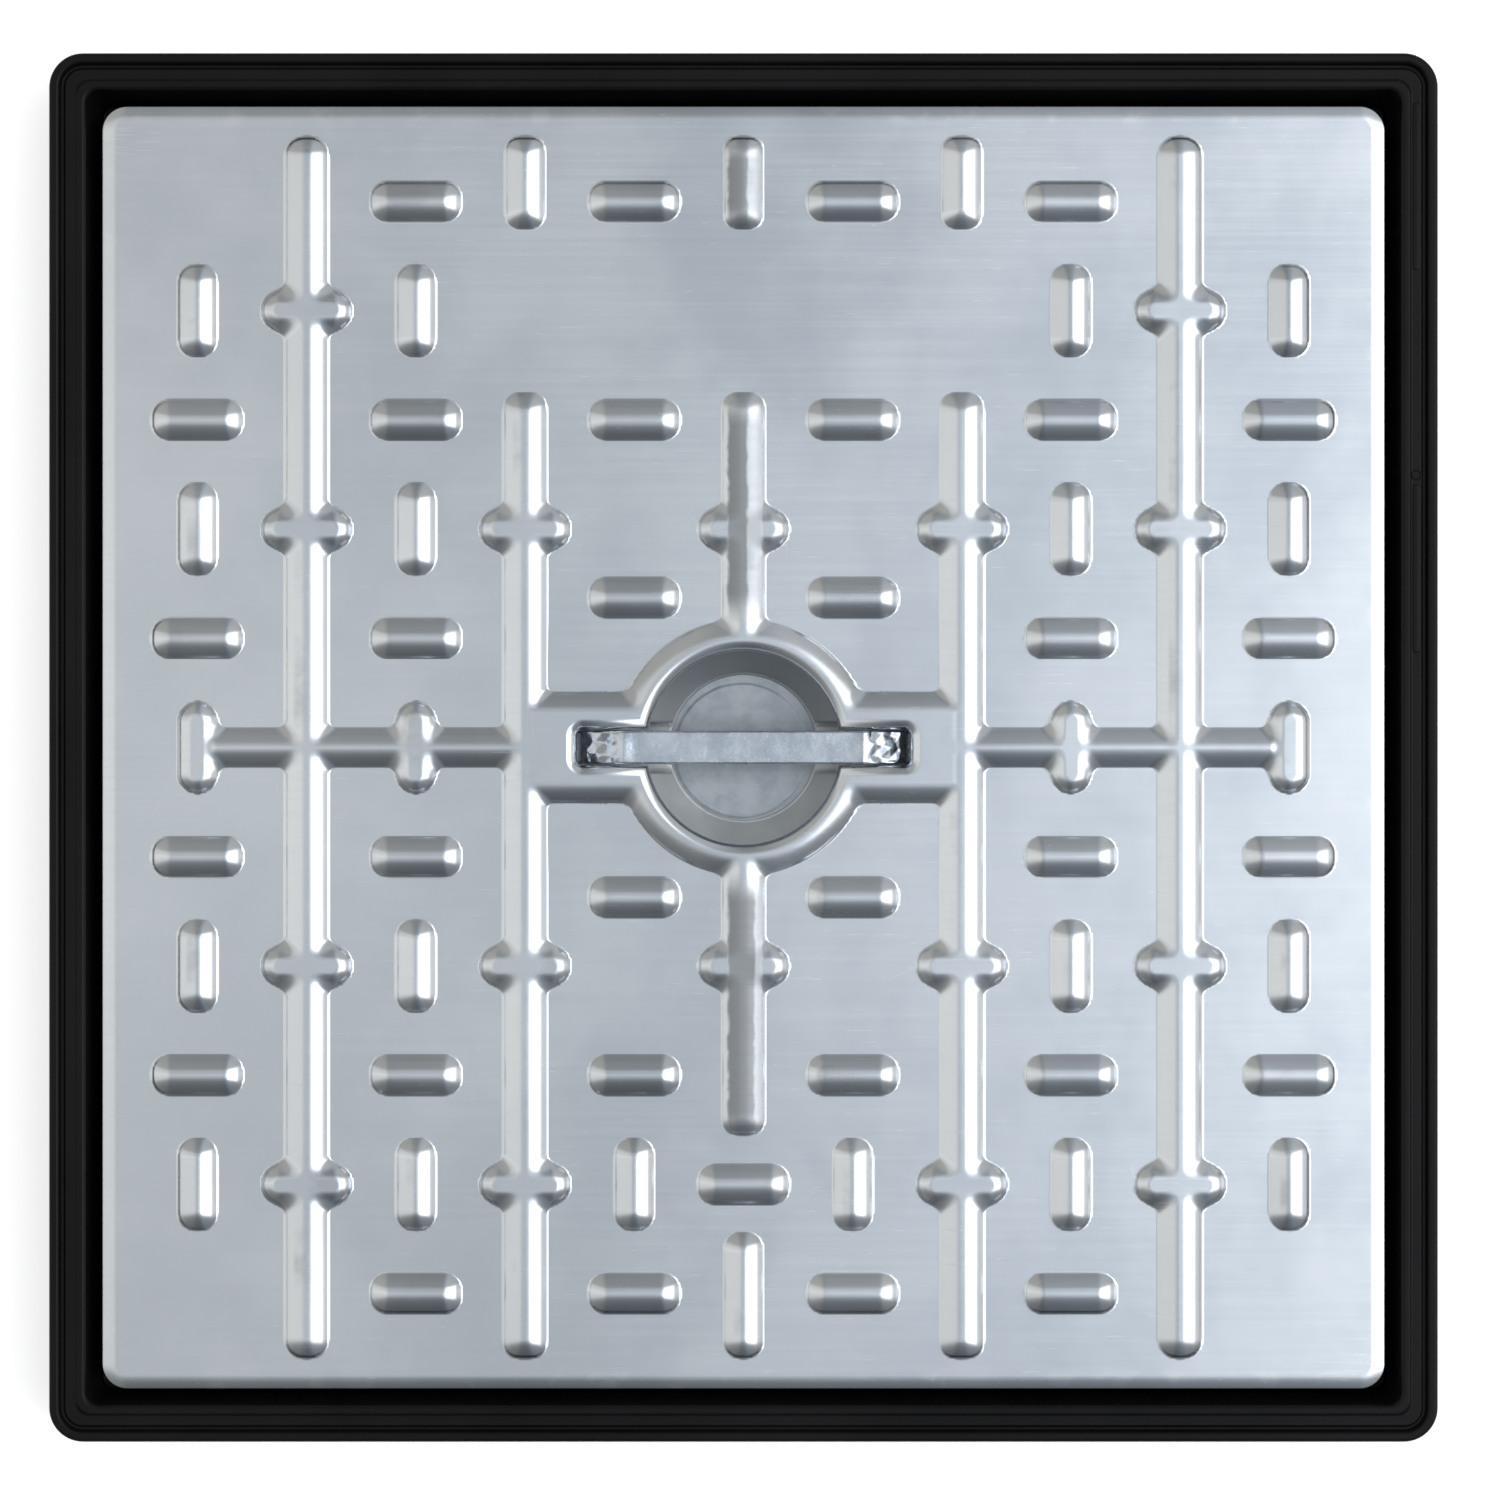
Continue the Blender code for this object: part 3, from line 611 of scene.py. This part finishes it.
def raised_ring(shape, x, y, radius, wire):
    """Round wire-like ring on the band: a small circle carried round a larger one."""
    angle = np.linspace(0, 4 * QUARTER, 49)[:-1]
    turn = np.linspace(0, 4 * QUARTER, 13)[:-1, None]
    size = radius + wire * np.cos(turn)
    height = np.broadcast_to(RING_MIDDLE + wire * np.sin(turn), (len(turn), len(angle)))
    points = np.stack([x + size * np.cos(angle), y + size * np.sin(angle), height], axis=-1)
    rings = shape.add(points, np.zeros(3))
    shape.rings([*rings, rings[0]], inward=True)


def moulded_frame():
    """The black frame: one profile round a square, with webs in its hollows and marks on its band."""
    shape = Shape()
    square_ring(shape, [
        (265.0, 0.0, 252.0, 0.4),
        (265.0, 42.0, 252.0, 1.5),
        (261.3, 42.0, 252.0, 1.2),
        (260.6, 39.2, 252.0, 0.6),
        (259.4, 39.2, 252.0, 0.6),
        (258.7, BAND_TOP, 252.0, 0.5),
        (254.9, BAND_TOP, 249.5, 0.9),
        (254.1, 42.0, 248.5, 1.1),
        (251.0, 42.0, 246.0, 1.6),
        (249.6, 8.0, 245.0, 1.0),
        (228.5, 8.0, 217.0, 1.0),
        (228.5, 14.5, 217.0, 0.9),
        (225.0, 14.5, 217.0, 0.9),
        (225.0, 0.0, 217.0, 0.4),
        (228.5, 0.0, 217.0, 0.4),
        (228.5, 4.0, 217.0, 0.7),
        (251.0, 4.0, 246.5, 0.7),
        (251.0, 0.0, 246.5, 0.4),
        (254.5, 0.0, 246.5, 0.4),
        (254.5, 37.1, 246.5, 0.8),
        (261.5, 37.1, 252.0, 0.8),
        (261.5, 0.0, 252.0, 0.4),
    ], 5, 24, 14)

    # Webs across the two hollows of the underside
    place = np.repeat(np.arange(-3, 4) * 75.0, 2)
    near, far = np.tile([226.75, 252.75], 7), np.tile([252.75, 263.25], 7)
    top = np.tile([6.0, 38.85], 7)
    low = np.stack([near, place - 1.25, np.full(14, 1.0)], axis=1)
    high = np.stack([far, place + 1.25, top], axis=1)
    for quarter in range(4):
        box_block(shape, *turned((low, high), quarter), 0.3)

    # Moulder's marks on the right side of the band
    raised_ring(shape, MARK_X, 104.0, 1.7, 0.35)
    raised_strip(shape, MARK_X, 36.0, 100.5, MARK_HALF)
    raised_strip(shape, MARK_X, 182.0, 246.0, MARK_HALF)
    return shape


def seal_ring():
    """The rubber ring in the seat, with a soft bead on top."""
    shape = Shape()
    square_ring(shape, [
        (249.0, 8.3, 235.5, 0.9),
        (249.0, 12.6, 235.5, 1.2),
        (246.8, 14.1, 235.5, 1.0),
        (242.2, 14.1, 235.5, 1.0),
        (240.0, 12.6, 235.5, 1.2),
        (240.0, 8.3, 235.5, 0.9),
    ], 5, 24, 16)
    return shape


def with_flats(outline, steps, count):
    """Outline of filleted corners with a number of points added along each straight side."""
    corners = outline.reshape(-1, steps + 1, 2)
    share = np.linspace(0, 1, count + 2)[1:-1, None]
    first, last = corners[:, -1:], np.roll(corners, -1, axis=0)[:, :1]
    return np.concatenate([corners, first + (last - first) * share], axis=1).reshape(-1, 2)


def lifting_strap():
    """The strap handle: a round-edged flat bar swept along its bent middle line.

    Its shoulders are dented by three crossing folds (zigzags of different length and direction), as a
    bar that was bent cold and knocked about is, and each bend is crowned by under half a millimetre.
    """
    shape = Shape()
    line, normal = bent_line(
        [
            (69.95, 17.1), (61.4, 17.1), (60.1, 33.6), (46.0, 40.1),
            (-46.0, 40.1), (-60.1, 33.6), (-61.4, 17.1), (-69.95, 17.1),
        ],
        2.4, 12, 0.5,
    )
    steps = 6
    section, _, _ = filleted([
        (6.3, -1.5, 0, 0.7), (6.3, 1.5, 0, 0.8), (-6.3, 1.5, 0, 0.8), (-6.3, -1.5, 0, 0.7),
    ], steps)
    section = with_flats(section, steps, 23)
    x, height, across = line[:, :1], line[:, 1:], section[None, :, 0]
    leg = np.clip((np.abs(x) - 46.5) / 2.0, 0, 1) * np.clip((height - 22.0) / 6.0, 0, 1)
    dents = 0.0
    for turn, length, start in ((0.35, 7.4, 0.1), (1.35, 8.8, 0.62), (2.4, 5.6, 0.3)):
        place = (x * np.cos(turn) + across * np.sin(turn)) / length + start
        dents = dents + 0.21 * length * (np.abs(place % 1.0 - 0.5) - 0.25)
    crown = 0.4 * np.exp(-((np.abs(x) - 46.0) ** 2) / 9.0) * (1 - (across / 6.3) ** 2)
    rise = section[None, :, 1] + leg * dents + crown
    flat = -normal[:, None, :]
    points = np.stack([
        x + rise * flat[..., 0], np.broadcast_to(across, rise.shape), height + rise * flat[..., 1],
    ], axis=-1)
    numbers = shape.add(points, np.zeros(3))
    shape.rings(list(numbers))
    shape.polygons.append(numbers[0][None])
    shape.polygons.append(numbers[-1][None, ::-1])
    return shape


def channel(middle):
    """One folded stiffener: a hat section in sheet, swept along the plate, with spot weld dimples."""
    shape = Shape()
    line, normal = bent_line(
        [(-21, 35.35), (-12, 35.35), (-9, 19.25), (9, 19.25), (12, 35.35), (21, 35.35)], 2.5, 8, 1.0
    )
    turn = np.linspace(0, np.pi, 7)[1:-1, None]
    cap = (np.array([0, 1]) * np.cos(turn) + np.array([1, 0]) * np.sin(turn)) * CHANNEL_SHEET / 2
    section = np.concatenate([
        line + normal * CHANNEL_SHEET / 2,
        line[-1] + cap,
        (line - normal * CHANNEL_SHEET / 2)[::-1],
        line[0] - cap,
    ])
    along = np.linspace(-CHANNEL_HALF_LENGTH, CHANNEL_HALF_LENGTH, 237)
    x, y = np.broadcast_arrays(along[:, None], section[None, :, 0])
    z = np.broadcast_to(section[None, :, 1], x.shape)
    weld = np.abs((x + 30.0) % 60.0 - 30.0) ** 2 + (np.abs(y) - 16.8) ** 2
    dimple = 0.45 * np.exp(-((weld / 5.0) ** 2)) * (z < 35.2)
    numbers = shape.add(np.stack([x, y + middle, z + dimple], axis=-1), np.zeros(3))
    shape.rings(list(numbers))
    shape.polygons.append(numbers[0][None])
    shape.polygons.append(numbers[-1][None, ::-1])
    return shape


def pocket_pan():
    """The pan under the recess: a round cup that narrows downwards, with a trough across it.

    Every ring is the outline of a circle with a box across it, and the sizes follow the pressed wall.
    """
    shape = Shape()
    counts = (6, 12, 26, 44)
    turn = np.linspace(0, QUARTER, 6)

    def cup(height):
        """Radius of the round cup at a height."""
        return np.interp(height, [13.8, 36.6], [28.2, 39.4])

    def outlines(rows):
        """Rings of points for rows of radius, half lengths, corner and height."""
        plans = [recess_ring(*row[:4], counts)[0] for row in rows]
        return [np.column_stack([plan, np.full(len(plan), row[4])]) for plan, row in zip(plans, rows)]

    rows = []
    # Flange top, then the bend into the wall and down to the trough's floor
    rows += [(43.03, 76.95, 14.83, 6.5, 39.9), (42.83, 76.75, 14.63, 6.3, 40.1)]
    for angle in turn:
        grow = 1.2 * (1 - np.sin(angle))
        rows.append((39.4 + grow, 71.45 + grow, 9.9 + grow, 5.4 + grow, 40.1 - 1.2 * (1 - np.cos(angle))))
    for height in np.linspace(38.0, 18.5, 9):
        rows.append((cup(height), 71.45, 9.9, 5.4, height))
    for angle in turn:
        draw = 2.0 * (1 - np.cos(angle))
        height = 17.3 - 2.0 * np.sin(angle)
        rows.append((cup(height), 71.45 - draw, 9.9 - draw, 5.4 - draw, height))
    inner = outlines(rows)

    def mouth(radius, half_y, height):
        """Round opening over the disc, with points that match the outlines' own."""
        turn = np.arcsin(half_y / radius)
        straight = np.linspace(0, turn, sum(counts[:3]) + 1)[:-1]
        angle = np.concatenate([straight, np.linspace(turn, QUARTER, counts[3] + 1)])
        ring = around(np.stack([radius * np.cos(angle), radius * np.sin(angle)], axis=-1))
        return np.column_stack([ring, np.full(len(ring), height)])

    edge = [mouth(28.9, 7.9, 15.3), mouth(28.45, 7.9, 15.0), mouth(28.2, 7.9, 14.2), mouth(28.5, 7.9, 13.8)]
    share = np.linspace(0, 1, 7)[1:-1, None, None]
    floor = list(inner[-1] * (1 - share) + edge[0] * share)
    rows = []
    # Outside of the pan, from the foot of the trough up to the flange
    for angle in turn[::-1]:
        draw = 3.5 * (1 - np.cos(angle))
        height = 17.3 - 3.5 * np.sin(angle)
        rows.append((max(cup(height), 28.9) + 1.5, 72.95 - draw, 11.4 - draw, 6.9 - draw, height))
    for height in np.linspace(19.0, 36.6, 8):
        rows.append((cup(height) + 1.5, 72.95, 11.4, 6.9, height))
    rows += [(40.9, 72.95, 11.4, 6.9, 38.0), (41.2, 73.4, 11.8, 7.2, 38.6)]
    rows += [(42.83, 76.75, 14.63, 6.3, 38.6), (43.03, 76.95, 14.83, 6.5, 38.8)]
    outer = outlines(rows)
    share = np.linspace(0, 1, 6)[1:-1, None, None]
    sole = list(edge[-1] * (1 - share) + outer[0] * share)
    rings = np.array([*inner, *floor, *edge, *sole, *outer])
    numbers = shape.add(rings, np.zeros(3))
    shape.rings([*numbers, numbers[0]], inward=True)
    return shape


def pocket_disc():
    """The disc that closes the pocket: turned, with a shallow round step pressed a little off its middle."""
    shape = Shape()
    angle = np.linspace(0, 4 * QUARTER, 161)[:-1]
    radius = np.concatenate([np.linspace(0.6, 28, 56), [30, 32, 32.9, 33.2, 33.2, 32.9, 30, 20, 10, 0.6]])
    height = np.concatenate([np.full(58, 13.5), [13.42, 13.2, 12.3, 12.08], np.full(4, 12.0)])
    x, y = radius[:, None] * np.cos(angle), radius[:, None] * np.sin(angle)
    step = np.clip((26.2 - np.hypot(x + 0.8, y + 1.2)) / 0.5, 0, 1)
    lift = 0.28 * step**2 * (3 - 2 * step) * (np.arange(len(radius)) < 58)[:, None]
    rings = shape.add(np.stack([x, y, height[:, None] + lift], axis=-1), np.zeros(3))
    shape.rings(list(rings))
    shape.polygons.append(rings[0][None])
    shape.polygons.append(rings[-1][None, ::-1])
    return shape


class Finish:
    """A procedural surface built node by node; every pattern reads Object coordinates, in metres."""

    def __init__(self, name, **values):
        self.material = bpy.data.materials.new(name)
        self.material.use_nodes = True
        self.tree = self.material.node_tree
        self.shader = self.tree.nodes["Principled BSDF"]
        self.place = self.tree.nodes.new("ShaderNodeTexCoord").outputs["Object"]
        for socket, value in values.items():
            self.shader.inputs[socket.replace("_", " ")].default_value = value

    def node(self, kind, inputs, **settings):
        """Add a node, give it its settings, and set or link its inputs."""
        node = self.tree.nodes.new("ShaderNode" + kind)
        for name, value in settings.items():
            setattr(node, name, value)
        for socket, value in inputs.items():
            if isinstance(value, bpy.types.NodeSocket):
                self.tree.links.new(value, node.inputs[socket])
            else:
                node.inputs[socket].default_value = value
        return node

    def stretched(self, scale, turn=0.0):
        """Object coordinates scaled by axis, for grain that runs one way."""
        inputs = {"Vector": self.place, "Scale": scale, "Rotation": (0, 0, turn)}
        return self.node("Mapping", inputs).outputs[0]

    def noise(self, scale, detail, place=None):
        inputs = {"Vector": place or self.place, "Scale": scale, "Detail": detail, "Roughness": 0.55}
        return self.node("TexNoise", inputs).outputs[0]

    def ramp(self, value, low, high, start=0.0, end=1.0):
        """Smooth change from start to end while a value goes from low to high."""
        return self.node("MapRange", {
            "Value": value, "From Min": low, "From Max": high, "To Min": start, "To Max": end,
        }, interpolation_type="SMOOTHSTEP").outputs[0]

    def math(self, operation, first, second=0.0):
        return self.node("Math", {0: first, 1: second}, operation=operation).outputs[0]

    def colour(self, share, first, second):
        """Mix of two colours, or of two sockets that give colours."""
        mix = self.node("Mix", {"Factor": share}, data_type="RGBA")
        for socket, value in ((mix.inputs[6], first), (mix.inputs[7], second)):
            if isinstance(value, bpy.types.NodeSocket):
                self.tree.links.new(value, socket)
            else:
                socket.default_value = (*value, 1.0)
        return mix.outputs[2]

    def bump(self, height, distance, strength=1.0, below=None):
        inputs = {"Height": height, "Distance": distance, "Strength": strength}
        if below:
            inputs["Normal"] = below
        return self.node("Bump", inputs).outputs[0]

    def finish(self, **links):
        for socket, value in links.items():
            self.tree.links.new(value, self.shader.inputs[socket.replace("_", " ")])
        return self.material


def galvanised_plate():
    """Satin galvanised sheet: drawn lines, cloudy zinc, scuffed edges, walked-on tops and a worn rib."""
    made = Finish("galvanised_plate", Metallic=1.0)
    x, y, height = made.node("SeparateXYZ", {0: made.place}).outputs
    cloud = made.noise(14.0, 4.0)
    drawn = made.noise(1.0, 2.0, made.stretched((9.0, 900.0, 60.0)))
    grain = made.noise(1400.0, 2.0)
    scratch = made.noise(1.0, 3.0, made.stretched((60.0, 1500.0, 60.0), 0.6))
    speck = made.noise(22.0, 4.0)

    def between(place, rise, fall):
        """One from the end of the rise to the start of the fall, and nothing outside the two."""
        return made.math("MULTIPLY", made.ramp(place, *rise), made.ramp(place, *fall, 1.0, 0.0))

    # Tops that shoes polish, and the middle rib that wears most
    top = made.ramp(height, 0.0412, 0.0420)
    worn = made.math("MULTIPLY", top, made.ramp(speck, 0.56, 0.70, 0.0, 0.4))
    edge = made.math("ADD", x, made.ramp(made.noise(160.0, 3.0), 0.3, 0.7, -0.0004, 0.0004))
    left = made.ramp(edge, -0.0068, -0.0050)
    above = between(y, (0.046, 0.060), (0.122, 0.136))
    above = made.math("MAXIMUM", above, between(y, (0.197, 0.207), (0.223, 0.233)))
    below = between(y, (-0.150, -0.138), (-0.060, -0.046))
    upper = made.math("MULTIPLY", made.ramp(edge, 0.0008, 0.0022, 1.0, 0.0), above)
    lower = made.math("MULTIPLY", made.ramp(edge, 0.0036, 0.0050, 1.0, 0.0), below)
    rib = made.math("MULTIPLY", made.math("MAXIMUM", upper, lower), left)
    worn = made.math("MAXIMUM", worn, rib)
    right = made.math("MULTIPLY", left, made.ramp(edge, 0.0060, 0.0080, 1.0, 0.0))
    dull = made.math("MULTIPLY", made.math("MAXIMUM", above, below), right)

    # Scuffs along the rolled edge and at two of its corners
    far = made.math("MAXIMUM", made.math("ABSOLUTE", x), made.math("ABSOLUTE", y))
    rubbed = made.ramp(made.noise(70.0, 5.0), 0.55, 0.66, 0.0, 0.3)
    rim = made.math("MULTIPLY", made.ramp(far, 0.236, 0.241), rubbed)
    marks = made.ramp(scratch, 0.68, 0.76)
    corner = made.ramp(made.math("MULTIPLY", made.math("MULTIPLY", x, y), -1.0), 0.048, 0.057)
    scuff = made.math("MAXIMUM", rim, made.math("MULTIPLY", corner, made.ramp(scratch, 0.56, 0.68, 0.0, 0.6)))

    zinc = made.colour(made.ramp(cloud, 0.35, 0.65), (0.605, 0.640, 0.680), (0.650, 0.682, 0.718))
    zinc = made.colour(made.math("MULTIPLY", worn, 0.80), zinc, (0.27, 0.285, 0.305))
    zinc = made.colour(made.math("MULTIPLY", scuff, 0.6), zinc, (0.80, 0.81, 0.82))
    rough = made.ramp(cloud, 0.3, 0.7, 0.17, 0.23)
    rough = made.math("ADD", rough, made.ramp(drawn, 0.35, 0.7, -0.01, 0.03))
    wear = made.math("MAXIMUM", worn, made.math("MULTIPLY", dull, 2.2))
    rough = made.math("ADD", rough, made.math("MULTIPLY", wear, 0.16))
    rough = made.math("ADD", rough, made.math("MULTIPLY", made.math("MAXIMUM", marks, scuff), 0.12))
    wave = made.bump(made.noise(30.0, 2.0), 0.00009)
    lines = made.bump(drawn, 0.000003, 1.0, wave)
    fine = made.bump(made.math("ADD", grain, made.math("ADD", marks, scuff)), 0.0000009, 1.0, lines)
    return made.finish(Base_Color=zinc, Roughness=rough, Normal=fine)


def dull_zinc(name, light, dark, low, high, clouds=40.0, painted_shade=None, metal=1.0):
    """Dull galvanised sheet: cloudy zinc, drawn lines, a fine tooth, and a painted shade towards +Y if given.
    """
    made = Finish(name, Metallic=metal)
    cloud = made.noise(clouds, 5.0)
    drawn = made.noise(1.0, 2.0, made.stretched((14.0, 700.0, 200.0)))
    base = made.colour(made.ramp(cloud, 0.32, 0.68), dark, light)
    # Painted shade: the colour turns to the given darker tone towards +Y, standing in for the shade on the
    # upper wall of a pocket.
    if painted_shade:
        y = made.node("SeparateXYZ", {0: made.place}).outputs[1]
        base = made.colour(made.ramp(y, -0.02, 0.036), base, painted_shade)
    rough = made.math("ADD", made.ramp(cloud, 0.3, 0.7, low, high), made.ramp(drawn, 0.3, 0.7, -0.03, 0.04))
    fine = made.bump(made.noise(1800.0, 2.0), 0.000006, 1.0, made.bump(drawn, 0.000012))
    return made.finish(Base_Color=base, Roughness=rough, Normal=fine)


def scuffed_strap():
    """Zinc plated bar: bright where it is bent, scuffed across the grip."""
    made = Finish("scuffed_strap", Metallic=1.0)
    cloud = made.noise(90.0, 4.0)
    scuff = made.ramp(made.noise(1.0, 3.0, made.stretched((160.0, 420.0, 160.0), 0.9)), 0.55, 0.66)
    base = made.colour(made.ramp(cloud, 0.3, 0.7), (0.49, 0.54, 0.60), (0.565, 0.61, 0.675))
    base = made.colour(made.math("MULTIPLY", scuff, 0.5), base, (0.42, 0.46, 0.52))
    rough = made.math("ADD", made.ramp(cloud, 0.3, 0.7, 0.15, 0.28), made.math("MULTIPLY", scuff, 0.12))
    dent = made.bump(made.noise(120.0, 3.0), 0.00022)
    fine = made.bump(scuff, 0.00002, 1.0, dent)
    return made.finish(Base_Color=base, Roughness=rough, Normal=fine)


def black_plastic():
    """Satin black moulding: fine spark texture, flow marks and a little pale dust."""
    made = Finish("black_plastic", Specular_IOR_Level=0.11)
    flow = made.noise(18.0, 3.0)
    spark = made.noise(2600.0, 2.0)
    dust = made.ramp(made.noise(420.0, 4.0), 0.68, 0.78, 0.0, 0.25)
    base = made.colour(made.ramp(flow, 0.3, 0.7), (0.0060, 0.0060, 0.0064), (0.0082, 0.0082, 0.0090))
    base = made.colour(dust, base, (0.030, 0.031, 0.033))
    rough = made.math("ADD", made.ramp(flow, 0.3, 0.7, 0.26, 0.36), dust)
    return made.finish(Base_Color=base, Roughness=rough, Normal=made.bump(spark, 0.00002, 0.6))


def seal_rubber():
    """Matt seal rubber with a bloom."""
    made = Finish("seal_rubber", Specular_IOR_Level=0.35)
    bloom = made.noise(120.0, 4.0)
    base = made.colour(made.ramp(bloom, 0.35, 0.7), (0.012, 0.012, 0.012), (0.026, 0.026, 0.027))
    rough = made.ramp(bloom, 0.3, 0.7, 0.62, 0.78)
    return made.finish(Base_Color=base, Roughness=rough, Normal=made.bump(made.noise(2200.0, 2.0), 0.00002))


def pale_floor():
    """Plain pale floor with a trace of tone, lit a little from within as a light table is."""
    made = Finish("pale_floor", Roughness=0.9, Specular_IOR_Level=0.1, Emission_Strength=0.58)
    made.shader.inputs["Emission Color"].default_value = (1.0, 1.0, 1.0, 1.0)
    base = made.colour(made.ramp(made.noise(3.0, 2.0), 0.3, 0.7), (0.77, 0.77, 0.77), (0.80, 0.80, 0.80))
    return made.finish(Base_Color=base)


def dress_the_part():
    """Make every piece, hang it on its body and give it its finish."""
    plate = thinned(pressed_plate().mesh("pressed_plate"), PLATE_TRIANGLES)
    pieces = [("pressed_plate", plate, galvanised_plate(), "cover", "galvanised_plate", ["cover_plate"])]

    def piece(name, shape, material, body, slot, *nodes):
        pieces.append((name, shape.mesh(name), material, body, slot, nodes))

    piece("moulded_frame", moulded_frame(), black_plastic(), "frame", "black_plastic", "frame")
    piece("seal_ring", seal_ring(), seal_rubber(), "frame", "black_rubber", "seat_seal")
    # The pan's colour carries a painted shade, darker towards +Y, for the shade that falls on the pocket's
    # upper wall.
    pan = dull_zinc(
        "pan_zinc", (0.86, 0.88, 0.88), (0.76, 0.78, 0.79), 0.36, 0.46, painted_shade=(0.33, 0.35, 0.37), metal=0.6
    )
    piece("pocket_pan", pocket_pan(), pan, "cover", "pan_steel", "handle_pan")
    disc = dull_zinc("frosted_disc", (0.44, 0.475, 0.515), (0.31, 0.345, 0.385), 0.42, 0.54, 110.0)
    piece("frosted_disc", pocket_disc(), disc, "cover", "disc_steel", "pocket_disc")
    piece("strap_handle", lifting_strap(), scuffed_strap(), "handle", "handle_steel", "lifting_handle")
    zinc = dull_zinc("channel_zinc", (0.56, 0.59, 0.62), (0.46, 0.49, 0.52), 0.32, 0.44)
    for number, middle in enumerate(CHANNEL_MIDDLES, 1):
        node = f"stiffener_{number}"
        piece(f"channel_{number}", channel(middle), zinc, "cover", "galvanised_channel", node)
    for name, mesh, material, body, slot, nodes in pieces:
        set_normals(mesh)
        new_piece(name, mesh, material, body, nodes)


def lay_floor():
    """A wide flat floor just under the frame."""
    line = np.linspace(-FLOOR_HALF, FLOOR_HALF, 9)
    y, x = np.meshgrid(line, line, indexing="ij")
    shape = Shape()
    numbers = shape.add(np.stack([x, y, np.full(x.shape, FLOOR_LEVEL)], axis=-1), np.array([0.0, 0.0, 1.0]))
    quads = np.stack([numbers[:-1, :-1], numbers[:-1, 1:], numbers[1:, 1:], numbers[1:, :-1]], axis=-1)
    shape.polygons.append(quads.reshape(-1, 4))
    mesh = shape.mesh("floor")
    set_normals(mesh)
    mesh.materials.append(pale_floor())
    floor = bpy.data.objects.new("floor", mesh)
    bpy.context.scene.collection.objects.link(floor)


def studio_light():
    """A soft tent of light by direction: a bright panel to the right, pale left, darker top and bottom."""
    world = bpy.data.worlds.new("studio")
    bpy.context.scene.world = world
    world.use_nodes = True
    tree = world.node_tree
    place = tree.nodes.new("ShaderNodeTexCoord").outputs["Generated"]
    split = tree.nodes.new("ShaderNodeSeparateXYZ")
    tree.links.new(place, split.inputs[0])

    def tone(socket, stops):
        """Light from one side to the other of the tent; each stop is a place from -1 to 1 and a colour."""
        shift = tree.nodes.new("ShaderNodeMath")
        shift.operation = "MULTIPLY_ADD"
        shift.inputs[1].default_value = shift.inputs[2].default_value = 0.5
        tree.links.new(socket, shift.inputs[0])
        ramp = tree.nodes.new("ShaderNodeValToRGB")
        tree.links.new(shift.outputs[0], ramp.inputs[0])
        ramp.color_ramp.interpolation = "EASE"
        marks = ramp.color_ramp.elements
        for spot, level in stops[1:-1]:
            marks.new(spot / 2 + 0.5).color = (*level, 1.0)
        marks[0].color, marks[-1].color = (*stops[0][1], 1.0), (*stops[-1][1], 1.0)
        return ramp.outputs[0]

    across = tone(split.outputs[0], [
        (-1.0, (1.10, 1.08, 1.04)),
        (-0.30, (1.08, 1.07, 1.03)),
        (-0.15, (0.80, 0.82, 0.83)),
        (-0.06, (0.68, 0.71, 0.74)),
        (0.0, (0.65, 0.69, 0.735)),
        (0.08, (0.86, 0.92, 0.99)),
        (0.16, (1.06, 1.14, 1.24)),
        (0.24, (1.28, 1.34, 1.42)),
        (0.70, (1.25, 1.25, 1.25)),
        (1.0, (0.95, 0.95, 0.95)),
    ])
    along = tone(split.outputs[1], [
        (-1.0, (0.17, 0.175, 0.18)),
        (-0.80, (0.21, 0.215, 0.22)),
        (-0.56, (0.27, 0.275, 0.28)),
        (-0.40, (0.40, 0.405, 0.41)),
        (-0.22, (0.77, 0.775, 0.78)),
        (-0.12, (0.85, 0.85, 0.85)),
        (0.0, (1.0, 1.0, 1.0)),
        (0.12, (0.82, 0.82, 0.82)),
        (0.29, (0.77, 0.765, 0.76)),
        (0.44, (0.48, 0.475, 0.46)),
        (0.69, (0.47, 0.465, 0.45)),
        (1.0, (0.43, 0.42, 0.40)),
    ])
    none, full, bright = (0.0, 0.0, 0.0), (1.0, 1.0, 1.0), (1.8, 1.8, 1.8)
    panel = tone(split.outputs[0], [
        (-1.0, none), (0.18, none), (0.28, bright), (0.76, bright), (0.90, none), (1.0, none),
    ])
    width = tone(split.outputs[1], [
        (-1.0, none), (-0.46, none), (-0.20, full), (0.20, full), (0.46, none), (1.0, none),
    ])

    def joined(first, second, way):
        """Product or sum of two lights."""
        mix = tree.nodes.new("ShaderNodeMix")
        mix.data_type, mix.blend_type = "RGBA", way
        mix.inputs[0].default_value = 1.0
        tree.links.new(first, mix.inputs[6])
        tree.links.new(second, mix.inputs[7])
        return mix.outputs[2]

    both = joined(joined(across, along, "MULTIPLY"), joined(panel, width, "MULTIPLY"), "ADD")
    background = tree.nodes["Background"]
    tree.links.new(both, background.inputs[0])
    background.inputs[1].default_value = 1.0


def look_down():
    """Camera straight above, with the photograph's upward direction along +Y."""
    camera = bpy.data.objects.new("camera", bpy.data.cameras.new("camera"))
    camera.location = (0.0025, -0.00095, 0.042 + 1.6)
    camera.data.sensor_width = 36.0
    camera.data.lens = 100.7
    bpy.context.scene.collection.objects.link(camera)
    bpy.context.scene.camera = camera
    bpy.context.scene.view_settings.view_transform = "Standard"


dress_the_part()
lay_floor()
studio_light()
look_down()
